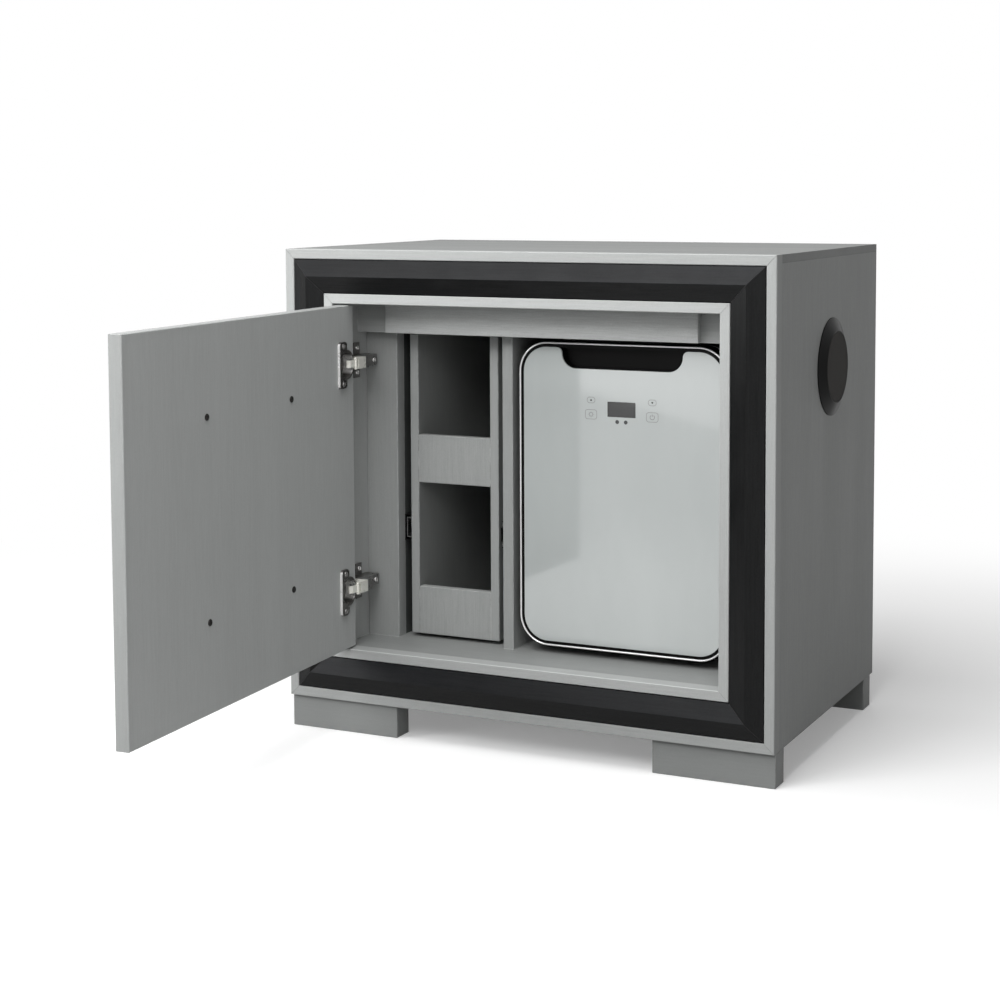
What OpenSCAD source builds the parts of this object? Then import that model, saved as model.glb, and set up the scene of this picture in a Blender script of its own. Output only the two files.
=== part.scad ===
// Nightstand with a built-in mini refrigerator, a pull-out can rack and a hinged false-drawer door.
// X runs across the cabinet, -Y is the front and Z is up. The origin lies on the floor, under
// the middle of the whole object with its door open. The door is drawn open, as it stands at rest.

/* [Cabinet] */
// Overall width of the cabinet
cab_w = 660; // [630:1:720]
// Depth from the front frame to the rear edge of the side panels
cab_d = 427; // [424:1:500]
// Overall height from the floor to the top
cab_h = 625; // [622:1:720]
// Thickness of the side panels
side_t = 15; // [12:1:18]
// Thickness of the top panel
top_t = 10; // [8:1:18]
// Thickness of the inner boards
board_t = 15; // [12:1:18]
// Thickness of the back panel
back_t = 6; // [3:1:9]
// Distance of the back panel from the rear edge of the cabinet
back_inset = 3; // [0:1:8]
// Diameter of the cable hole in the back panel
cable_hole_d = 50; // [30:1:60]

/* [Feet] */
// Height of the feet
foot_h = 42; // [25:1:60]
// Width of each foot block
foot_w = 155; // [80:1:200]
// Depth of each foot block
foot_d = 31; // [20:1:60]
// Distance of the front feet behind the front frame
front_foot_setback = 6.5; // [0:0.5:20]
// Distance of the rear feet from the rear edge
rear_foot_setback = 12; // [0:1:30]

/* [Front frame] */
// Visible width of the outer frame rails
rim_w = 12.5; // [8:0.5:18]
// Width of the black moulding
mould_w = 44; // [30:1:50]
// Height of the moulding's ridge in front of the frame
mould_rise = 8; // [3:0.5:14]
// Width of the shadow groove on each side of the moulding
groove_w = 1; // [0.5:0.1:2]
// Visible width of the inner frame rails
inner_w = 12.5; // [8:0.5:18]
// Depth of the whole front frame
frame_d = 20; // [16:1:24]
// Hairline between the mitred ends of the rails
mitre_gap = 0.2; // [0.1:0.1:0.6]
// Width of the eased edges of boards and rails
ease = 0.8; // [0.3:0.1:1.5]

/* [Door] */
// Thickness of the door
door_t = 17; // [16:0.5:19]
// Distance of the shut door behind the front frame
door_recess = 3; // [0:0.5:4]
// Gap between the door and the opening on its hinged side
hinge_gap = 3; // [2:0.5:4]
// Gap between the door and the opening on its other sides
door_gap = 2; // [1.5:0.5:3]
// Angle by which the door stands open at rest
door_open = 87; // [0:0.5:90]
// Distance between the two holes of a handle
handle_span = 192; // [96:32:256]
// Height of each handle above or below the middle of the door
handle_rise = 116; // [80:1:140]
// Thickness of the handle bars
handle_bar = 10; // [8:1:14]
// Clear height of a handle over the door
handle_reach = 24; // [18:1:32]
// Size of the magnetic catch
catch_size = 10; // [8:1:14]

/* [Concealed hinges] */
// Distance of each hinge from the top or bottom of the door
hinge_inset = 75; // [60:1:110]
// Radius of the hinge cup
cup_r = 17.5; // [17:0.1:18]
// Depth of the hinge cup
cup_depth = 11.5; // [11:0.1:12]
// Distance of the cup's centre from the edge of the door
cup_centre = 22.5; // [22:0.5:24]
// Wall of the cup
cup_wall = 0.8; // [0.6:0.1:1]
// Thickness of the cup's flange
cup_flange_t = 3.2; // [1:0.2:3.4]
// Radius of the link pin
hinge_pin_r = 1.5; // [1.2:0.1:1.8]
// Height of the hinge arm
arm_h = 14.5; // [13:0.5:16]
// Turn of the link for each degree that the door turns
link_ratio = 1.2; // [1.15:0.01:1.25]
// Thickness of the link
link_t = 1.8; // [1.5:0.1:2]
// Depth of the wing screws behind the front edge of the base block
wing_setback = 17; // [12:0.5:28]
// Radius of the small screws
screw_r = 1.8; // [1.5:0.1:2]

/* [Can rack] */
// Width of the pull-out rack
rack_w = 128.5; // [110:0.5:132]
// Depth of the rack
rack_d = 290; // [260:1:300]
// Height of the rack
rack_h = 396; // [360:1:398]
// Clearance under the rack
rack_lift = 5; // [4:1:12]
// Distance of the rack behind the front frame
rack_setback = 98; // [84:1:104]
// Thickness of the rack's side boards and rails
rack_t = 12; // [9:1:15]
// Height of the rack's front rails
rack_rail_h = 63; // [40:1:75]
// Height from the lower shelf to the upper one
rack_pitch = 201; // [170:1:220]
// Thickness of the rack's shelves
shelf_t = 9; // [6:1:12]

/* [Ball-bearing slides] */
// Thickness of the slides
slide_t = 12.7; // [12:0.1:13.5]
// Height of the slides
slide_h = 35; // [33:1:45]
// Length of the slides
slide_len = 290; // [260:1:300]
// Height of the slides' centre line over the deck
slide_rise = 144; // [100:1:170]
// Sheet thickness of the slides
slide_sheet = 1.2; // [1:0.1:1.4]
// Radius of the balls
ball_r = 1.4; // [1.2:0.1:1.5]

/* [Bays] */
// Width of the filler panel beside the hinges
filler_w = 46; // [40:1:60]
// Distance of the filler panel behind the front frame
filler_setback = 86; // [84:1:90]
// Thickness of the divider between the rack and the refrigerator
divider_t = 14.5; // [12:0.5:18]
// Distance of the divider behind the front frame
divider_setback = 84; // [82:1:90]
// Visible drop of the apron under the top of the opening
apron_drop = 40; // [32:1:42]
// Distance of the apron behind the front frame
apron_setback = 54; // [45:1:56]
// Step between the apron rail and the board behind it
apron_step = 10; // [6:1:12]
// Margin at each end of the apron rail
apron_margin = 46.5; // [30:0.5:60]

/* [Speakers] */
// Radius of the speaker trim ring
speaker_ring_r = 61.5; // [56:0.5:66]
// Radius of the raised grille
speaker_grille_r = 44.5; // [40:0.5:50]
// Height of the grille over the side panel
speaker_rise = 7.5; // [6:0.5:14]
// Distance of the speaker's centre under the top
speaker_drop = 147; // [125:1:205]
// Distance of the speaker's centre behind the front frame
speaker_y = 222.5; // [180:0.5:260]

/* [Refrigerator] */
// Gap between the refrigerator and the wall on its right
fridge_right_gap = 18.6; // [8:0.1:38]
// Height of the refrigerator without its feet
fridge_h = 388; // [360:1:392]
// Depth of the refrigerator with its door
fridge_d = 300; // [296:1:310]
// Space for air between the refrigerator and the back panel
fridge_back_gap = 33; // [20:1:36]
// Gap between the divider and the refrigerator
fridge_side_gap = 9; // [6:0.5:14]
// Height of the refrigerator's feet
fridge_foot_h = 10; // [6:1:12]
// Radius of the refrigerator's corners seen from the front
fridge_r = 38; // [30:1:44]
// Thickness of the outer shell
shell_t = 2.5; // [2:0.1:3]
// Thickness of the insulation
foam_t = 34; // [28:1:40]
// Thickness of the insulation behind the cold chamber
rear_foam_t = 30; // [24:1:40]
// Height of the shelf over the floor of the cold chamber
shelf_level = 128; // [90:1:160]
// Height of the shelf's front lip, from the underside of the shelf
shelf_rise = 9; // [6:0.5:14]
// Distance of the shelf behind the front of the body
shelf_setback = 54; // [50:1:80]
// Distance of each foot of the refrigerator from its front or rear edge
fridge_foot_inset = 27; // [20:1:50]
// Distance of the mains inlet from the side and the bottom of the body
inlet_inset = 50; // [45:1:80]
// Wall of the inner liner
liner_t = 2; // [1.5:0.1:2.5]

/* [Refrigerator door] */
// Thickness of the refrigerator's door
fridge_door_t = 31; // [28:1:32]
// Gap between the door and the front of the shell
fridge_door_gap = 5; // [4:0.5:6]
// Width of the bright bezel
bezel_w = 2.4; // [2:0.1:4]
// Width of the black line between the bezel and the glass
line_w = 4; // [3:0.1:6]
// Thickness of the glass
glass_t = 3; // [2:0.1:4]
// Half width of the hand recess
recess_half = 81; // [60:1:84]
// Height of the hand recess
recess_h = 26; // [20:0.5:32]
// Depth of the hand recess
recess_d = 16; // [10:1:20]
// Width of the display
display_w = 37.6; // [30:0.1:50]
// Height of the display
display_h = 19; // [14:0.5:24]
// Distance of the display's centre under the top of the door
display_drop = 81.5; // [70:0.5:100]
// Radius of the two lights under the display
led_r = 2.5; // [1.5:0.1:3]
// Distance between the two lights
led_pitch = 11.4; // [8:0.1:14]
// Width of the circuit board behind the glass
circuit_w = 108; // [100:1:120]
// Height of the circuit board behind the glass
circuit_h = 42; // [36:1:50]
// Depth of the two bins on the door
bin_d = 50; // [30:1:52]
// Height of each bin
bin_h = 40; // [30:1:80]
// Distance from the lower bin to the upper one
bin_pitch = 140; // [90:1:150]
// Distance of each hinge lug from the top or bottom of the door
lug_inset = 60; // [50:1:75]
// Distance of the hinge pins from the front and the side of the door
door_pin_inset = 12; // [11:0.5:14]
// Radius of the hinge pins
door_pin_r = 3; // [2.5:0.1:3.5]

/* [Cooling] */
// Side of the outer heat sink
sink_w = 120; // [100:1:130]
// Side of the inner cold sink
cold_w = 90; // [70:1:100]
// Thickness of the fins
fin_t = 1.4; // [1:0.1:2]
// Number of fins on the outer heat sink
sink_fins = 19; // [10:1:24]
// Side of the outer fan
fan_w = 92; // [80:1:100]
// Side of the inner fan
cold_fan_w = 60; // [50:1:70]
// Depth of the cover over the inner fan
cover_d = 44; // [38:1:60]
// Margin of that cover around the cold plate
cover_margin = 8; // [4:0.5:12]
// Gap between the shelf's lip and that cover
cover_gap = 8.8; // [2:0.1:30]
// Side of the thermoelectric module
module_w = 40; // [30:1:50]
// Depth of the outer heat sink's fins
sink_fin_d = 20; // [12:1:30]
// Thickness of the outer fan
fan_t = 20; // [15:1:25]
// Space between the outer fan and the rear face
fan_space = 9; // [6:0.5:15]
// Number of fan blades
fan_blades = 7; // [5:1:9]

/* [Fits] */
// Radial clearance of every turning pin
pin_fit = 0.05; // [0.03:0.01:0.1]
// Running gap between parts that move past each other
run_gap = 0.3; // [0.2:0.05:0.6]

/* [Hidden] */
$fn = 64;

// Front frame and opening
ring_w = rim_w + mould_w + inner_w;
half_w = cab_w / 2;
open_half = half_w - ring_w;
open_z0 = foot_h + ring_w;
open_z1 = cab_h - ring_w;
under_top = cab_h - top_t;
side_in = half_w - side_t;
back_y = cab_d - back_inset - back_t;

// Nightstand door, drawn closed and then turned about its hinge axis
door_x0 = -open_half + hinge_gap;
door_x1 = open_half - door_gap;
door_z0 = open_z0 + door_gap;
door_z1 = open_z1 - door_gap;
door_mid = (door_z0 + door_z1) / 2;
door_back = door_recess + door_t;
axis_x = door_x0 + 6.5;
axis_y = door_recess + 4.5;
hinge_z = [door_z0 + hinge_inset, door_z1 - hinge_inset];
cup_x = door_x0 + cup_centre;
cup_screw_rise = 24;
cup_screw_side = 9.5;
handle_overhang = 14;

// Foremost point of the object and the middle of its depth, with the door at its rest angle
function turned_y(x, y) = axis_y - (x - axis_x) * sin(door_open) + (y - axis_y) * cos(door_open);
front_y = min(turned_y(door_x1, door_recess), -mould_rise,
    turned_y(handle_span / 2 + handle_overhang, door_recess - handle_reach - handle_bar));
mid_y = (front_y + cab_d) / 2;

// Hinge arm and link, on a pin that lies inside the cup when the door is shut
link_x = cup_x;
link_y = door_back - 6;
nose_r = hinge_pin_r + 0.9;
link_end_r = link_t / 2 + 0.2;
link_bend = [cup_r - 6.6, 1.4];
link_tip = [cup_r - 3, -1.3];
plate_rise = 10;
plate_y = 40;
plate_d = 40;
arm_slot = arm_h - 4.5;
wing_y = plate_y + wing_setback;
wing_rise = 16;

// Bays behind the opening
slide_x = -open_half + filler_w;
rack_x0 = slide_x + slide_t;
rack_x1 = rack_x0 + rack_w;
divider_x0 = rack_x1 + slide_t;
divider_x1 = divider_x0 + divider_t;
rack_z0 = open_z0 + rack_lift;
slide_y0 = rack_setback + 6;
speaker_z = cab_h - speaker_drop;
slide_z = open_z0 + slide_rise;
filler_t = 18;
apron_z0 = open_z1 - apron_drop;

// Slide section: the cabinet, middle and rack members nest inside each other
ball_gap = 2 * ball_r + 0.2;
mid_half = slide_h / 2 - slide_sheet - ball_gap;
rack_member_half = mid_half - slide_sheet - ball_gap;

// Refrigerator, in its own frame: X across from its middle, Y back from its door, Z up from its bottom
fridge_w = open_half - fridge_right_gap - divider_x1 - fridge_side_gap;
fridge_x = divider_x1 + fridge_side_gap + fridge_w / 2;
fridge_z = open_z0 + fridge_foot_h;
fridge_y = back_y - fridge_back_gap - fridge_d;
body_y = fridge_door_t + fridge_door_gap;
flange_t = 2.5;
chamber_w = fridge_w - 2 * foam_t;
chamber_h = fridge_h - 2 * foam_t;
chamber_r = 14;
sink_base_t = 6;
fan_y = fridge_d - fan_space - fan_t;
foam_back = fan_y - sink_fin_d - sink_base_t;
liner_back = foam_back - rear_foam_t;
cold_fan_t = 15;
cold_fin_d = 14;
cold_fan_y = liner_back - 4 - cold_fin_d - cold_fan_t;
ledge_z = foam_t + shelf_level;
cover_wall = 2;
cover_w = cold_w + 2 * cover_margin;
cooling_z = ledge_z + shelf_rise + cover_gap + cover_w / 2;
module_half = module_w / 2;
pin_x = fridge_w / 2 - door_pin_inset;
pin_y = door_pin_inset;
lug_z = [lug_inset, fridge_h - lug_inset];
lug_t = 6;
lug_half = 6;
notch_play = 1.5;
glass_w = fridge_w - 2 * (bezel_w + line_w);
glass_h = fridge_h - 2 * (bezel_w + line_w);
glass_r = fridge_r - bezel_w - line_w;
gasket_inset = 22;
gasket_w = 8;

// ---------------------------------------------------------------- helpers

// Moves a piece drawn from the front plane back to the origin's frame.
module at_front() translate([0, -mid_y, 0]) children();

// A board from one corner to the other.
module board(x, y, z) translate([x[0], y[0], z[0]]) cube([x[1] - x[0], y[1] - y[0], z[1] - z[0]]);

// A rectangle with its four corners eased.
module eased_rect(w, h) polygon([[ease, 0], [w - ease, 0], [w, ease], [w, h - ease], [w - ease, h],
    [ease, h], [0, h - ease], [0, ease]]);

// A board with all of its edges eased, from one corner to the other.
module eased_board(x, y, z) translate([x[0], y[0], z[0]]) intersection() {
    linear_extrude(z[1] - z[0]) eased_rect(x[1] - x[0], y[1] - y[0]);
    slab(0, y[1] - y[0]) eased_rect(x[1] - x[0], z[1] - z[0]);
    rotate([90, 0, 90]) linear_extrude(x[1] - x[0]) eased_rect(y[1] - y[0], z[1] - z[0]);
}

// An upright panel with only the two edges of its front eased.
module eased_panel(x, y, z) translate([0, 0, z[0]]) linear_extrude(z[1] - z[0])
    polygon([[x[0] + ease, y[0]], [x[1] - ease, y[0]], [x[1], y[0] + ease], [x[1], y[1]], [x[0], y[1]],
        [x[0], y[0] + ease]]);

// Section of a rail of the front frame, its two front edges eased.
module rail_section(w) polygon([[ease, 0], [frame_d, 0], [frame_d, -w], [ease, -w], [0, -w + ease],
    [0, -ease]]);

// Extrudes an outline drawn in X and Z from y0 to y1.
module slab(y0, y1) translate([0, y1, 0]) rotate([90, 0, 0]) linear_extrude(y1 - y0) children();

// A straight pin or hole along Y, from y0 to y1.
module rod_y(x, y0, y1, z, r) translate([x, y0, z]) rotate([-90, 0, 0]) cylinder(r = r, h = y1 - y0);

// A straight pin or hole along X, from x0 to x1.
module rod_x(x0, x1, y, z, r) translate([x0, y, z]) rotate([0, 90, 0]) cylinder(r = r, h = x1 - x0);

// A rectangle with round corners, centred, made of true arcs.
module round_rect(w, h, r) {
    square([w, h - 2 * r], center = true);
    square([w - 2 * r, h], center = true);
    for (sx = [-1, 1], sz = [-1, 1]) translate([sx * (w / 2 - r), sz * (h / 2 - r)]) circle(r);
}

// Turns the door and what is on it from shut to its rest angle.
module on_door() at_front() translate([axis_x, axis_y, 0]) rotate([0, 0, -door_open])
    translate([-axis_x, -axis_y, 0]) children();

// Places what is drawn in the refrigerator's own frame.
module on_fridge() at_front() translate([fridge_x, fridge_y, fridge_z]) children();

// One mitred rail, lying along X with its outer edge at Z = 0; its section is given in depth and height.
module mitred_rail(len, w) {
    intersection() {
        rotate([90, 0, 90]) linear_extrude(len, center = true) children();
        slab(-2 * frame_d, 2 * frame_d)
            polygon([[-len / 2 + mitre_gap, 0], [len / 2 - mitre_gap, 0],
                [len / 2 - w - mitre_gap, -w], [-len / 2 + w + mitre_gap, -w]]);
    }
}

// Four mitred rails round a rectangle with its middle at height zc.
module mitred_frame(w, h, rail_w, zc) {
    for (side = [0, 180]) translate([0, 0, zc]) rotate([0, side, 0]) translate([0, 0, h / 2])
        mitred_rail(w, rail_w) children();
    for (side = [90, -90]) translate([0, 0, zc]) rotate([0, side, 0]) translate([0, 0, w / 2])
        mitred_rail(h, rail_w) children();
}

// ---------------------------------------------------------------- cabinet

front_mid = (foot_h + cab_h) / 2;
front_h = cab_h - foot_h;

module top_panel() color("silver") at_front()
    board([-half_w, half_w], [frame_d, cab_d], [under_top, cab_h]);

module side_panel(side) difference() {
    board([min(side * half_w, side * side_in), max(side * half_w, side * side_in)],
        [frame_d, cab_d], [foot_h, under_top]);
    rod_x(side * half_w - side_t - 1, side * half_w + side_t + 1, speaker_y, speaker_z, speaker_grille_r);
}

module left_side_panel() color("silver") at_front() side_panel(-1);

module right_side_panel() color("silver") at_front() side_panel(1);

module bottom_panel() color("silver") at_front()
    board([-side_in, side_in], [frame_d, back_y], [foot_h, foot_h + board_t]);

module deck_panel() color("lightgrey") at_front()
    board([-side_in, side_in], [frame_d, back_y], [open_z0 - board_t, open_z0]);

// Rows of slots behind the refrigerator and a round hole for its cable.
module back_panel() color("dimgray") at_front() difference() {
    board([-side_in, side_in], [back_y, back_y + back_t], [foot_h, under_top]);
    for (row = [0:vent_rows - 1], column = [-1, 1])
        slab(back_y - 1, back_y + back_t + 1)
            translate([fridge_x + column * vent_len * 0.6, fridge_z + vent_z0 + row * vent_pitch])
                round_rect(vent_len, vent_h, vent_h / 2 - 0.01);
    rod_y(fridge_x - fridge_w / 2 + cable_hole_d, back_y - 1, back_y + back_t + 1,
        fridge_z + cable_hole_d / 2, cable_hole_d / 2);
}
vent_rows = 9;
vent_len = 95;
vent_h = 8;
vent_pitch = 22;
vent_z0 = 150;

module rim_rails() color("gainsboro") at_front()
    mitred_frame(cab_w, front_h, rim_w, front_mid) rail_section(rim_w);

// A ridge with two slopes, stepped down at both edges to leave the shadow grooves.
module moulding_lengths() color([0.08, 0.08, 0.08]) at_front()
    mitred_frame(cab_w - 2 * rim_w, front_h - 2 * rim_w, mould_w, front_mid)
        polygon([[groove_depth, 0], [groove_depth, -groove_w], [0, -groove_w],
            [-mould_rise + 0.6, -mould_w / 2 + 1.6], [-mould_rise, -mould_w / 2],
            [-mould_rise + 0.6, -mould_w / 2 - 1.6], [0, -mould_w + groove_w],
            [groove_depth, -mould_w + groove_w], [groove_depth, -mould_w], [frame_d, -mould_w],
            [frame_d, 0]]);
groove_depth = 3;

module inner_rails() color("gainsboro") at_front()
    mitred_frame(cab_w - 2 * (rim_w + mould_w), front_h - 2 * (rim_w + mould_w), inner_w, front_mid)
        rail_section(inner_w);

module feet() color("silver") at_front() for (side = [-1, 1],
    y = [front_foot_setback, cab_d - rear_foot_setback - foot_d])
    eased_board([side > 0 ? half_w - foot_w : -half_w, side > 0 ? half_w : -half_w + foot_w],
        [y, y + foot_d], [0, foot_h]);

module hinge_wall() color("lightgrey") at_front()
    board([-open_half - board_t, -open_half], [frame_d, filler_setback + filler_t], [open_z0, under_top]);

module filler_panel() color("lightgrey") at_front()
    eased_panel([-open_half, slide_x], [filler_setback, filler_setback + filler_t], [open_z0, under_top]);

module slide_wall() color("lightgrey") at_front()
    board([slide_x - board_t, slide_x], [filler_setback + filler_t, back_y], [open_z0, under_top]);

module right_inner_wall() color("lightgrey") at_front()
    board([open_half, open_half + board_t], [frame_d, back_y], [open_z0, under_top]);

module divider() color("lightgrey") at_front()
    eased_panel([divider_x0, divider_x1], [divider_setback, back_y], [open_z0, under_top]);

module apron_rail() color("darkgrey") at_front()
    eased_board([-open_half + apron_margin, open_half - apron_margin],
        [apron_setback, apron_setback + apron_step], [apron_z0, under_top]);

module apron_backer() color("darkgrey") at_front()
    board([-open_half, open_half], [apron_setback + apron_step, apron_setback + apron_step + board_t],
        [apron_z0, under_top]);

// ---------------------------------------------------------------- concealed hinges

// The base block and its wings, screwed to the hinge wall.
module hinge_plates() color("lightgrey") at_front() for (z = hinge_z) difference() {
    union() {
        board([-open_half, -open_half + plate_rise], [plate_y, plate_y + plate_d],
            [z - arm_h / 2, z + arm_h / 2]);
        board([-open_half, -open_half + wing_t], [wing_y - 7, wing_y + 7],
            [z - wing_rise - 7, z + wing_rise + 7]);
    }
    for (dz = [-wing_rise, wing_rise]) rod_x(-open_half - 1, -open_half + wing_t + 1, wing_y, z + dz,
        screw_r);
    for (y = arm_screw_y) rod_x(-open_half - 1, -open_half + plate_rise + 1, y, z, screw_r);
}
wing_t = 2.5;
head_r = 2 * screw_r;
arm_screw_y = [plate_y + 14, plate_y + plate_d - 8];

// The arm: a channel on the base block, which narrows to a forked nose with the link's pin.
module hinge_arms() color("whitesmoke") at_front() for (z = hinge_z) {
    difference() {
        translate([0, 0, z - arm_h / 2]) linear_extrude(arm_h) {
            translate([link_x, link_y]) circle(nose_r);
            polygon([[link_x - nose_r, link_y], [link_x - nose_r, door_back + 2],
                [-open_half + plate_rise + 4, door_back + 4], [-open_half + plate_rise, door_back + 12],
                [-open_half + plate_rise, plate_y + plate_d], [arm_top_x, plate_y + plate_d],
                [arm_top_x, plate_y + 8], [link_x + nose_r, plate_y + 4], [link_x + nose_r, link_y]]);
        }
        translate([link_x - 5, link_y - 5, z - arm_slot / 2]) cube([10, 9.5, arm_slot]);
        for (y = arm_screw_y) rod_x(-open_half, link_x + 5, y, z, screw_r);
        translate([link_x, link_y, z - arm_h]) cylinder(r = hinge_pin_r, h = 2 * arm_h);
    }
    translate([link_x, link_y, z - arm_h / 2 - 0.6]) cylinder(r = hinge_pin_r, h = arm_h + 1.2);
}
arm_top_x = -open_half + plate_rise + 9;

// Wing screws and the two adjusting screws of each hinge.
module plate_screws() color("silver") at_front() for (z = hinge_z) {
    for (dz = [-wing_rise, wing_rise]) {
        rod_x(-open_half, -open_half + wing_t, wing_y, z + dz, screw_r);
        rod_x(-open_half + wing_t, -open_half + wing_t + 2, wing_y, z + dz, head_r);
    }
    for (y = arm_screw_y) {
        rod_x(-open_half, arm_top_x, y, z, screw_r);
        rod_x(arm_top_x, arm_top_x + 2, y, z, head_r);
    }
}

// The cup: a pressed bowl with a flange, two ears and a gap where the link comes in.
module hinge_cups() color("silver") on_door() for (z = hinge_z) difference() {
    union() {
        rod_y(cup_x, door_back - cup_depth, door_back, z, cup_r);
        slab(door_back, door_back + cup_flange_t) translate([cup_x, z]) {
            circle(cup_r + 1.5);
            translate([cup_screw_side, 0]) round_rect(2 * cup_screw_side, 2 * cup_screw_rise + 11, 5);
        }
    }
    rod_y(cup_x, door_back - cup_depth + cup_wall, door_back + cup_flange_t + 1, z, cup_r - cup_wall);
    translate([cup_x - cup_r - 4, door_back, z - arm_h / 2 - 1]) cube([12, cup_flange_t + 1, arm_h + 2]);
    link_notch(z, 4);
    for (dz = [-cup_screw_rise, cup_screw_rise])
        rod_y(cup_x + cup_screw_side, door_back - 1, door_back + cup_flange_t + 1, z + dz, screw_r);
}

// Room for the link where it passes over the cup's rim with the door wide open.
module link_notch(z, beyond) translate([cup_x - cup_r - beyond, door_back - notch_d, z - arm_slot / 2 - 0.5])
    cube([beyond + 4, notch_d + cup_flange_t + 1, arm_slot + 1]);
notch_d = 5;

// A flat strip of the link's section, from one point to a rounded end at another.
module strip(a, b, w) {
    d = b - a;
    translate(a) rotate(atan2(d[1], d[0])) translate([0, -w / 2]) square([norm(d), w]);
    translate(b) circle(link_end_r);
}

// The bent link, which turns on the arm's pin and folds into the cup as the door shuts.
module hinge_links() color("whitesmoke") at_front() for (z = hinge_z)
    translate([link_x, link_y, z]) rotate([0, 0, -link_ratio * door_open]) difference() {
        linear_extrude(arm_slot - 2 * run_gap, center = true) {
            circle(nose_r);
            strip([0, 0], link_bend, link_t);
            strip(link_bend, link_tip, link_t);
        }
        cylinder(r = hinge_pin_r + pin_fit, h = 3 * arm_h, center = true);
    }

// The white magnetic catch behind the free edge of the door.
module door_catch() color("white") at_front()
    board([open_half - 7, open_half], [door_back + 1, door_back + 15],
        [open_z1 - 24, open_z1 - 24 + catch_size]);

// ---------------------------------------------------------------- nightstand door

module door_panel() color("silver") on_door() difference() {
    eased_board([door_x0, door_x1], [door_recess, door_back], [door_z0, door_z1]);
    for (z = hinge_z) {
        rod_y(cup_x, door_back - cup_depth, door_back + 1, z, cup_r);
        link_notch(z, 1.6);
        for (dz = [-cup_screw_rise, cup_screw_rise])
            rod_y(cup_x + cup_screw_side, door_back - screw_depth, door_back + 1, z + dz, screw_r);
    }
    for (side = [-1, 1], up = [-1, 1])
        rod_y(side * handle_span / 2, door_recess - 1, door_back + 1, door_mid + up * handle_rise,
            handle_hole_r);
}
screw_depth = 10;
handle_hole_r = 2.5;
handle_screw_r = 2;

// Two bar handles, each on two round posts that take the screws.
module door_handles() color("silver") on_door() for (up = [-1, 1]) difference() {
    union() {
        board([-handle_span / 2 - handle_overhang, handle_span / 2 + handle_overhang],
            [door_recess - handle_reach - handle_bar, door_recess - handle_reach],
            [door_mid + up * handle_rise - handle_bar / 2, door_mid + up * handle_rise + handle_bar / 2]);
        for (side = [-1, 1])
            rod_y(side * handle_span / 2, door_recess - handle_reach, door_recess,
                door_mid + up * handle_rise, handle_bar / 2);
    }
    for (side = [-1, 1])
        rod_y(side * handle_span / 2, -handle_thread, door_back, door_mid + up * handle_rise,
            handle_screw_r);
}
handle_thread = 11;

// Handle screws through the door and the small screws of the hinge cups.
module door_screws() color("dimgray") on_door() {
    for (side = [-1, 1], up = [-1, 1]) {
        rod_y(side * handle_span / 2, -handle_thread, door_back, door_mid + up * handle_rise,
            handle_screw_r);
        rod_y(side * handle_span / 2, door_back, door_back + 1.6, door_mid + up * handle_rise, 4);
    }
    for (z = hinge_z, dz = [-cup_screw_rise, cup_screw_rise]) {
        x = cup_x + cup_screw_side;
        seat = door_back + cup_flange_t;
        rod_y(x, door_back - screw_depth, seat, z + dz, screw_r);
        rod_y(x, seat, seat + 1.6, z + dz, head_r);
    }
}

// ---------------------------------------------------------------- can rack and its slides

module rack_sides() color("darkgrey") at_front() for (x = [rack_x0, rack_x1 - rack_t])
    eased_board([x, x + rack_t], [rack_setback, rack_setback + rack_d], [rack_z0, rack_z0 + rack_h]);

module rack_shelves() color("darkgrey") at_front() for (level = [0, 1])
    board([rack_x0 + rack_t, rack_x1 - rack_t],
        [rack_setback + rack_t, rack_setback + rack_d - rack_back_t],
        [rack_z0 + level * rack_pitch + 2, rack_z0 + level * rack_pitch + 2 + shelf_t]);

module rack_back() color("darkgrey") at_front()
    board([rack_x0 + rack_t, rack_x1 - rack_t],
        [rack_setback + rack_d - rack_back_t, rack_setback + rack_d], [rack_z0, rack_z0 + rack_h]);
rack_back_t = 5;

module rack_rails() color("darkgrey") at_front() for (level = [0, 1])
    eased_board([rack_x0 + rack_t, rack_x1 - rack_t], [rack_setback, rack_setback + rack_t],
        [rack_z0 + level * rack_pitch, rack_z0 + level * rack_pitch + rack_rail_h]);

// A channel of bent sheet: its web lies from u0, its lips reach to u1, and h is half its height.
module channel(u0, u1, h) {
    translate([u0, -h]) square([slide_sheet, 2 * h]);
    for (s = [-1, 1]) translate([u0, s > 0 ? h - slide_sheet : -h]) square([u1 - u0, slide_sheet]);
}

// Draws a slide section on the slide wall and its mirror image on the divider.
module slide_pair(len = slide_len) {
    for (place = [[slide_x, 1], [divider_x0, -1]])
        translate([place[0], 0, slide_z]) mirror([place[1] < 0 ? 1 : 0, 0, 0])
            slab(slide_y0, slide_y0 + len) children();
}

module slide_cabinet_members() color("gray") at_front() slide_pair() channel(0, slide_t - 1.7, slide_h / 2);

// The middle members carry the balls in a strip above and below each race. The outer balls sit in
// the rear half and the inner ones in the front half, where both tracks cover them at full reach.
module slide_middle_members() color("gray") at_front() {
    slide_pair() channel(3, slide_t - 1.9, mid_half);
    ball_row(mid_half, slide_len - 20 - ball_pitch * (balls - 1), 1);
    ball_row(rack_member_half, 16, -1);
}
balls = 9;
ball_pitch = 14;
ball_u = slide_t * 0.55;

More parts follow.
